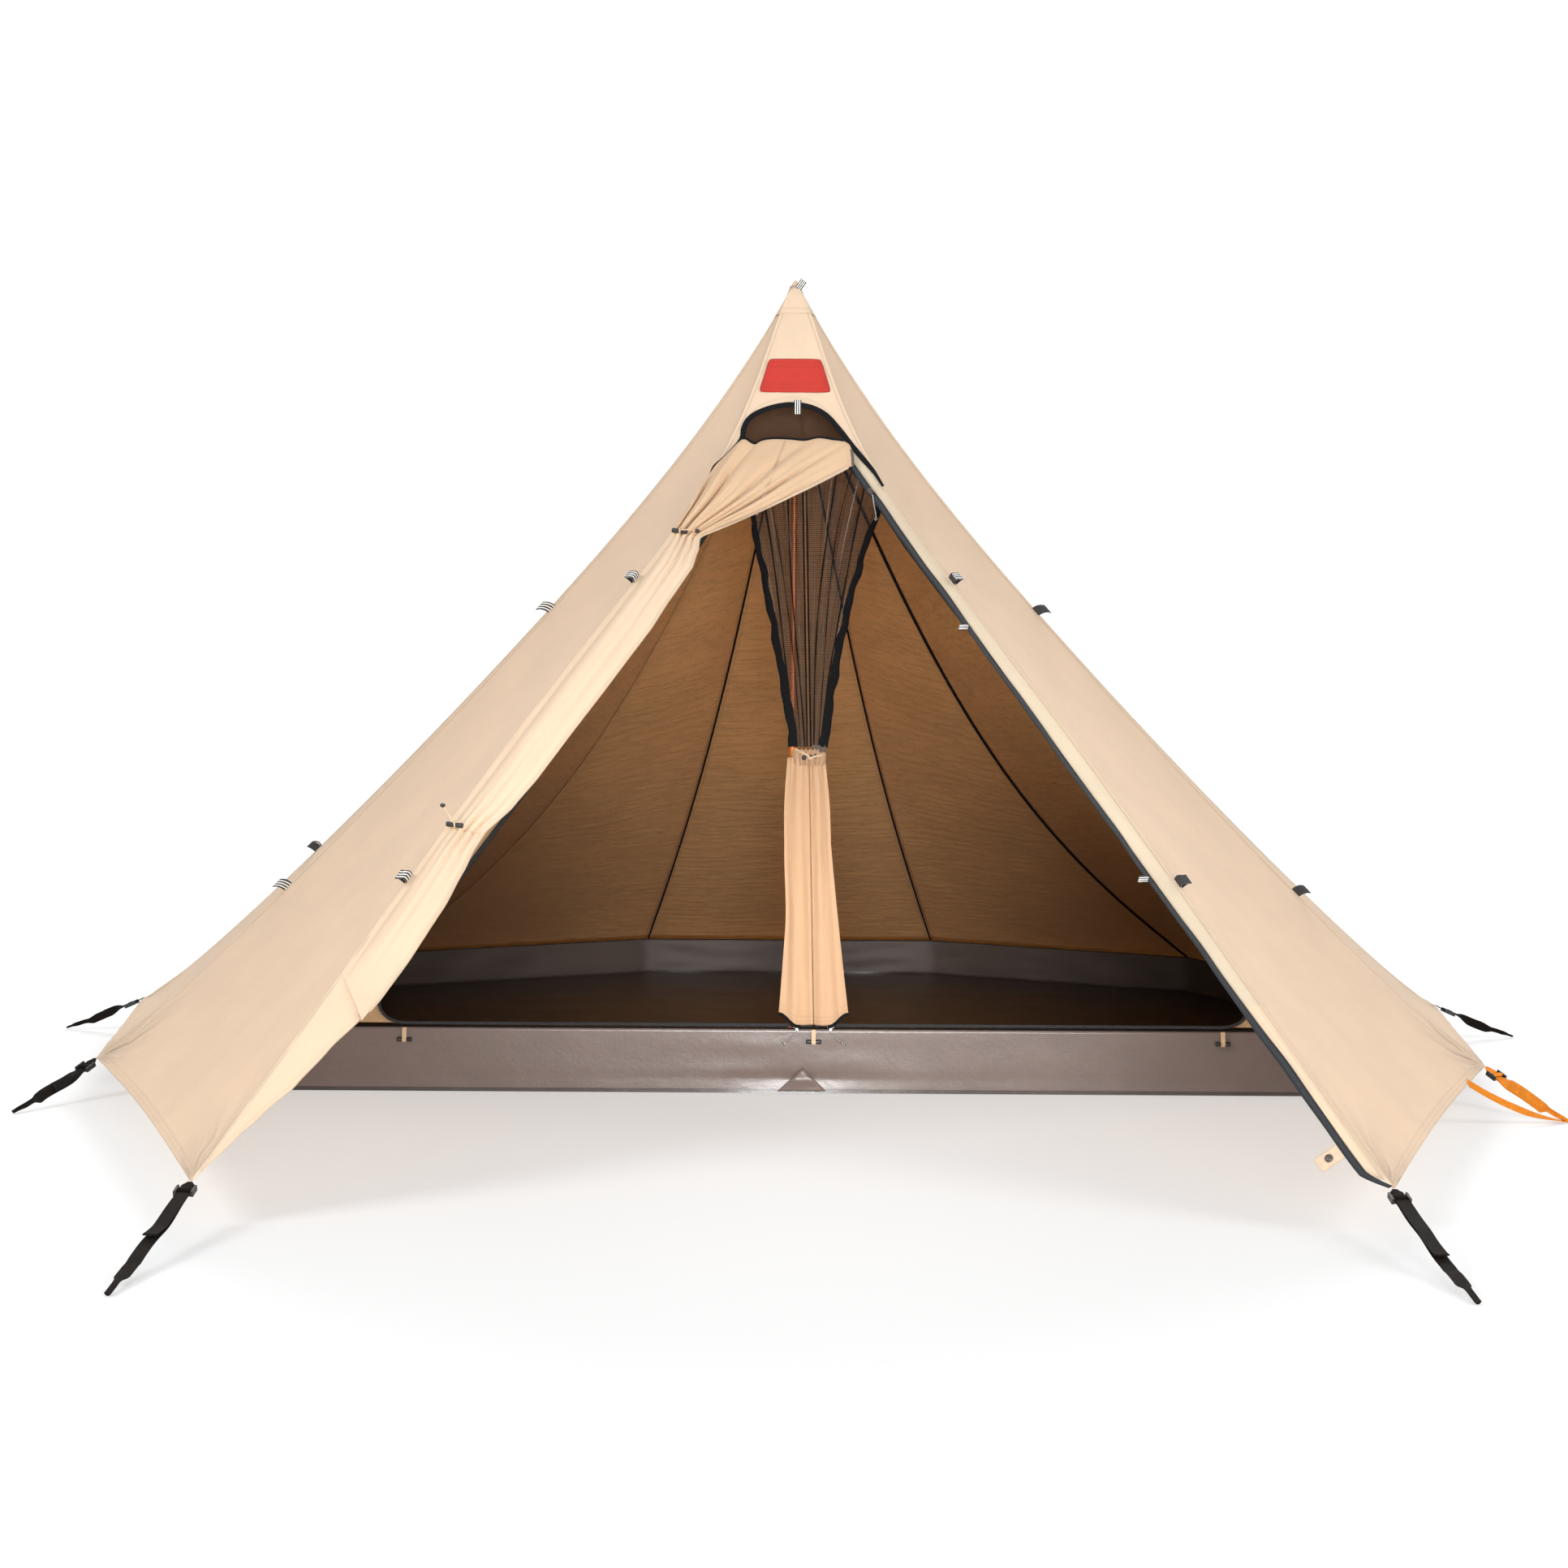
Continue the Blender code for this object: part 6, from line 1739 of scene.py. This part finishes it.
def make_cap():
    """The cap over the apex: rings that follow the seams, then a peak."""
    cap_rows = []
    order = [(p, 1) for p in FLY_PLAN] + [(p, -1) for p in reversed(FLY_PLAN)]
    for r in range(CAP_RINGS + 1):
        up = r / CAP_RINGS
        t = CAP_REACH * (1 - up)
        ring = []
        for n, key in enumerate(order):
            a = FLY_SEAM[key].at(t)
            b = FLY_SEAM[order[(n + 1) % len(order)]].at(t)
            for j in range(SEAM_STEPS):
                p = a.lerp(b, j / SEAM_STEPS)
                out = Vector((p.x, p.y, 0)).normalized()
                puff = 0.0004 * sin(pi * j / SEAM_STEPS)
                grow = 0.0012 + 0.0010 * (1 - up)
                ring.append(p + out * (grow + puff - 0.0035 * up ** 4) + Vector((0, 0, 0.0014)))
        cap_rows.append(ring)
    peak = Vector((0, 0, APEX_HEIGHT + CAP_PEAK))
    top_ring = cap_rows[-1]
    for share in (0.35, 0.65, 0.88):
        cap_rows.append([p.lerp(peak, share) + Vector((0, 0, 0.0022 * sin(pi * share))) for p in top_ring])
    points = np.array(cap_rows)
    _, along = arc_lengths(points)
    around = np.tile(np.arange(points.shape[1]) * 0.006, (points.shape[0], 1))
    edge = np.stack([np.full_like(along, 1.0), along + 0.006], axis=2)
    mesh = grid_mesh("cap", points, np.stack([around, along], axis=2), edge, from_pole, loop=True)
    bm = bmesh.new()
    bm.from_mesh(mesh)
    bm.verts.ensure_lookup_table()
    ring = [bm.verts[(points.shape[0] - 1) * points.shape[1] + j] for j in range(points.shape[1])]
    tip = bm.verts.new(peak)
    for j, v in enumerate(ring):
        bm.faces.new((v, ring[(j + 1) % len(ring)], tip))
    bmesh.ops.recalc_face_normals(bm, faces=bm.faces)
    bm.to_mesh(mesh)
    bm.free()
    cap = finish_mesh("apex_cap_cloth", mesh, FLY, thick=0.0006)
    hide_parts("apex_cap")


def tie_round_bundle(name, height):
    """A tape from the seam over the gathered door to its edge."""
    line = []
    for k in range(33):
        q = 0.02 + 0.94 * k / 32
        line.append(roll_point(height - 0.006 * q, q) + DOOR_NORMAL * 0.0022)
    tube(name, line, 0.0021, SAND_TAPE, sides=8)


def box_centre(name):
    low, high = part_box(name)
    return (Vector(low) + Vector(high)) / 2


def make_door_ties():
    beads = (("upper", UPPER_TIE, (0.036, -0.004, 0.000)), ("lower", LOWER_TIE, (-0.022, 0.0, 0.036)))
    for label, height, bead in beads:
        tie_round_bundle(f"door_tie_{label}", height)
        centre = box_centre(f"door_toggle_{label}")
        facing = Vector((0.05, -1, 0.3)).normalized()
        lie = (Vector((1, 0, 0.0)) - facing * facing.x).normalized()
        beside = facing.cross(lie).normalized()
        ring = [centre + turned(facing, beside, 2 * pi * k / 24) * 0.0062 for k in range(25)]
        tube(f"door_tie_loop_{label}", ring, 0.0016, SAND_TAPE, body=f"door_toggle_{label}_body", sides=8)
        end = centre + Vector(bead)
        path = smooth_path([centre + facing * 0.006, centre + facing * 0.008 + Vector(bead) * 0.45, end], 8)
        tube(f"door_tie_tail_{label}", path, 0.0013, SAND_TAPE, sides=8)
        bm = bmesh.new()
        bmesh.ops.create_uvsphere(bm, u_segments=16, v_segments=10, radius=0.0052)
        for v in bm.verts:
            v.co.z *= 0.8
            v.co = v.co + end
        finish_mesh(f"door_tie_bead_{label}", from_bm(f"door_tie_bead_{label}", bm), PLASTIC)


def make_wall_ties():
    """The tapes that hold the front wall's three toggles: each bends round its toggle."""
    rim = FRONT_WALL_HEIGHT - 0.002
    wall = FRONT_WALL_Y - 0.0038
    for name in ("left", "centre", "right"):
        centre = box_centre(f"wall_toggle_{name}")
        path = [Vector((centre.x, wall, rim)),
                Vector((centre.x, wall - 0.0004, (rim + centre.z) / 2 + 0.002))]
        for k in range(15):
            a = pi * 0.5 - pi * 2 * (k / 14) * 0.86
            path.append(centre + Vector((0, cos(a) * 0.0054, sin(a) * 0.0054)))
        path.append(Vector((centre.x, wall - 0.0034, rim - 0.002)))
        points = smooth_path(path, 4)
        across = Vector((1, 0, 0))
        normal = [across.cross(direction(points, k)).normalized() for k in range(len(points))]
        tape = ribbon(f"wall_toggle_tape_{name}", points, [across] * len(points), normal, 0.009, 0.0008,
                      SAND_TAPE, body=None)
        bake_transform(tape)


def make_inner_door_tie():
    centre = box_centre("inner_door_toggle")
    bends = ((-0.030, 0.006, 0.016), (-0.016, -0.004, 0.010), (-0.004, -0.0062, 0.004),
             (0.0015, -0.0060, -0.003), (0.012, -0.004, 0.001), (0.026, 0.004, 0.004))
    path = smooth_path([centre + Vector(bend) for bend in bends], 8)
    tube("inner_door_tie", path, 0.0030, SAND_TAPE, sides=8)


def dotted_cord(name, exit, bends, body):
    """A short pull cord with a knotted end; its bends are measured from where it leaves the slider."""
    path = smooth_path([exit] + [exit + Vector(bend) for bend in bends], 8)
    ob = tube(name, path, 0.0013, DOTTED, body, sides=8)
    knot = []
    for k in range(15):
        a = 2 * pi * k / 14
        knot.append(path[-1] + Vector((0.0022 * cos(a), 0.0012 * sin(2 * a), 0.0022 * sin(a))))
    end = tube(name + "_knot", knot, 0.0014, DOTTED, body, sides=8)


def make_pull_cords():
    for side_name, side in SIDES.items():
        low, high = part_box(f"inner_slider_{side_name}")
        x = (low[0] + high[0]) / 2
        exit = Vector((x, low[1] + 0.0006, low[2] + 0.001))
        bends = ((side * 0.003, -0.001, -0.006), (side * 0.012, -0.001, -0.016),
                 (side * 0.022, 0.0, -0.024), (side * 0.030, 0.001, -0.029))
        dotted_cord(f"inner_pull_cord_{side_name}", exit, bends, f"inner_slider_{side_name}_body")
    low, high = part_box("outer_slider")
    exit = Vector(((low[0] + high[0]) / 2 + 0.004, low[1] + 0.0015, low[2] + 0.002))
    bends = ((0.002, -0.002, -0.010), (0.004, -0.002, -0.024), (0.007, -0.001, -0.038), (0.008, 0.0, -0.050))
    dotted_cord("outer_pull_cord", exit, bends, "outer_slider_body")


TAB_HALF = (0.0228, 0.0148)
# The press stud's outline, as (radius, height)
STUD = ((0.0072, 0.0), (0.0074, 0.0008), (0.0066, 0.0014), (0.0058, 0.0012), (0.0046, 0.0019),
        (0.0026, 0.0025), (0.0008, 0.0026))


def make_stud_tab():
    edge_point = placket_edge(ZIP_FOOT_HEIGHT) - PLACKET_ALONG * 0.030 * 1.6
    reach = 0.016 - 0.003 + 0.0003 + 0.046 / 2
    centre = edge_point - PLACKET_ACROSS * reach + Vector((0, -0.0018 * 1.6, 0)) + PLACKET_NORMAL * 0.0011
    rows, columns = 16, 22
    points, cut, edge = blank_grid(rows, columns)
    for i in range(rows + 1):
        for k in range(columns + 1):
            u, v = k / columns * 2 - 1, i / rows * 2 - 1
            a = u * TAB_HALF[0] * (1 - 0.04 * abs(v) ** 6)
            b = v * TAB_HALF[1] * (1 - (0.10 if u < 0 else 0.0) * abs(u) ** 4)
            p = centre + PLACKET_ACROSS * a + PLACKET_ALONG * b
            p += PLACKET_NORMAL * (0.0006 + 0.0008 * sin(2.5 * u + v))
            points[i, k] = p
            edge[i, k] = (TAB_HALF[0] * (1 - abs(u)) * 0.6, TAB_HALF[1] * (1 - abs(v)) * 0.6)
            cut[i, k] = (a, b)
    cloth("stud_tab_cloth", points, FLY_SOFT, ("stud_tab",), to_front, cut, edge, thick=0.0020)
    bm = bmesh.new()
    rings = []
    base = centre + PLACKET_NORMAL * 0.0030
    spokes = [turned(PLACKET_ACROSS, PLACKET_ALONG, 2 * pi * k / 28) for k in range(28)]
    for r, h in STUD:
        rings.append([bm.verts.new(base + spoke * r + PLACKET_NORMAL * h) for spoke in spokes])
    for a, b in zip(rings, rings[1:]):
        for k in range(28):
            bm.faces.new((a[k], a[(k + 1) % 28], b[(k + 1) % 28], b[k]))
    bm.faces.new(rings[0][::-1])
    bm.faces.new(rings[-1])
    bmesh.ops.recalc_face_normals(bm, faces=bm.faces)
    finish_mesh("press_stud", from_bm("stud", bm), DARK_METAL, angle=30)


def dress_nodes():
    """Better materials, and slightly rounded edges, for the CAD nodes that stay."""
    by_slot = {"black_plastic": PLASTIC, "orange_tube": TUBE, "foot_rubber": RUBBER, "slider_metal": SLIDER}
    for name, ob in NODES.items():
        for slot in ob.material_slots:
            label = slot.material.name.split(".")[0] if slot.material else ""
            if name.startswith(("buckle", "inner_door_toggle", "wall_toggle", "door_toggle", "pole_tip")):
                slot.material = PLASTIC
            elif name in ("pole_lower", "pole_middle", "pole_upper"):
                slot.material = TUBE
            elif name == "pole_foot":
                slot.material = RUBBER
            elif "slider" in name:
                slot.material = DARK_METAL if name == "outer_slider" else SLIDER
            elif label in by_slot:
                slot.material = by_slot[label]
        if name.startswith(("buckle", "inner_slider", "outer_slider")):
            bevel = ob.modifiers.new("edges", "BEVEL")
            bevel.width = 0.0006
            bevel.segments = 2
            bevel.limit_method = "ANGLE"


# Stage
WORLD_LIGHT = 0.42
# Name, place, size, watts and aim
LAMPS = (("key", (-5.2, -4.6, 4.2), (2.6, 2.2), 275, (0, 0, 0.6)),
         ("fill", (0.6, -7.6, 1.3), (2.8, 2.0), 280, (0, 0, 0.6)),
         ("side", (5.4, -3.4, 3.2), (2.6, 2.6), 175, (0, 0, 0.6)),
         ("back", (0.3, 6.4, 4.2), (3.6, 2.4), 460, (0, 0.6, 0.6)))
DOORWAY_LAMP = (0.10, -4.6, 1.0)
DOORWAY_AIM = (0.04, 0.0, 0.30)
DOORWAY_WATTS = 820
CAMERA_PLACE = (-0.0182, -6.2452, 1.053)
CAMERA_TILT = 3.483
CAMERA_ROLL = 0.3532
CAMERA_LENS = 65.81
STAGE_HALF = 30


def straight_rays(nt):
    """1 for the rays that the camera sees straight, mirrored or refracted, else 0."""
    rays = nt.nodes.new("ShaderNodeLightPath")
    return math(nt, "MAXIMUM", rays.outputs["Is Camera Ray"],
                math(nt, "MAXIMUM", rays.outputs["Is Glossy Ray"], rays.outputs["Is Transmission Ray"]))


def place_lamp(name, data, place, aim):
    lamp = in_scene(bpy.data.objects.new(name, data))
    lamp.location = place
    lamp.rotation_euler = (Vector(aim) - Vector(place)).to_track_quat("-Z", "Y").to_euler()


def stage_material():
    """A white floor that fades into the white background with the distance."""
    mat, nt, shader = start("floor_white", 0.9)
    shader.inputs["Base Color"].default_value = (0.86, 0.86, 0.86, 1)
    glow = nt.nodes.new("ShaderNodeEmission")
    glow.inputs["Color"].default_value = (1, 1, 1, 1)
    split = node(nt, "SeparateXYZ", node(nt, "NewGeometry").outputs["Position"])
    far = node(nt, "CombineXYZ", split.outputs[0], split.outputs[1], 0.0).outputs[0]
    far = node(nt, "VectorMath", far, operation="LENGTH").outputs["Value"]
    share = math(nt, "MULTIPLY", straight_rays(nt), grade(nt, far, 2.2, 6.0, 0.45, 1.0))
    both = node(nt, "MixShader", share, shader.outputs[0], glow.outputs[0])
    nt.links.new(both.outputs[0], nt.nodes["Material Output"].inputs[0])
    return mat


def make_stage():
    bm = bmesh.new()
    for x, y in ((-1, -1), (1, -1), (1, 1), (-1, 1)):
        bm.verts.new((x * STAGE_HALF, y * STAGE_HALF, 0))
    bm.faces.new(bm.verts)
    mesh = from_bm("stage_floor", bm)
    mesh.materials.append(stage_material())
    in_scene(bpy.data.objects.new("stage_floor", mesh))
    world = bpy.data.worlds.new("studio")
    bpy.context.scene.world = world
    world.use_nodes = True
    nt = world.node_tree
    back = nt.nodes["Background"]
    back.inputs["Color"].default_value = (1, 1, 1, 1)
    strength = math(nt, "MULTIPLY_ADD", straight_rays(nt), 1.0 - WORLD_LIGHT, WORLD_LIGHT)
    nt.links.new(strength, back.inputs["Strength"])
    for name, place, size, watts, aim in LAMPS:
        data = bpy.data.lights.new(name, "AREA")
        data.shape = "RECTANGLE"
        data.size, data.size_y = size
        data.energy = watts
        place_lamp(name, data, place, aim)
    data = bpy.data.lights.new("doorway", "SPOT")
    data.energy = DOORWAY_WATTS
    data.shadow_soft_size = 0.40
    data.spot_size = radians(17)
    data.spot_blend = 1.0
    place_lamp("doorway", data, DOORWAY_LAMP, DOORWAY_AIM)


def make_camera():
    data = bpy.data.cameras.new("camera")
    data.lens = CAMERA_LENS
    data.sensor_width = 36
    camera = in_scene(bpy.data.objects.new("camera", data))
    tilt = Matrix.Rotation(radians(90 - CAMERA_TILT), 4, "X")
    roll = Matrix.Rotation(radians(CAMERA_ROLL), 4, "Z")
    camera.matrix_world = Matrix.Translation(CAMERA_PLACE) @ tilt @ roll
    bpy.context.scene.camera = camera
    bpy.context.scene.view_settings.view_transform = "Standard"


make_camera()
make_pull_cords()
make_fly()
make_seam_strips()
make_front()
make_outer_zip()
make_outer_door()
make_outer_door_foot()
make_inner()
make_inner_fronts()
make_floor()
make_wall_patch()
make_inner_doors()
make_straps()
make_second_leg()
make_guy_loops()
make_small_tabs()
make_front_patch()
make_cap()
make_door_ties()
make_wall_ties()
make_inner_door_tie()
make_stud_tab()
dress_nodes()
make_stage()
bpy.context.view_layer.update()
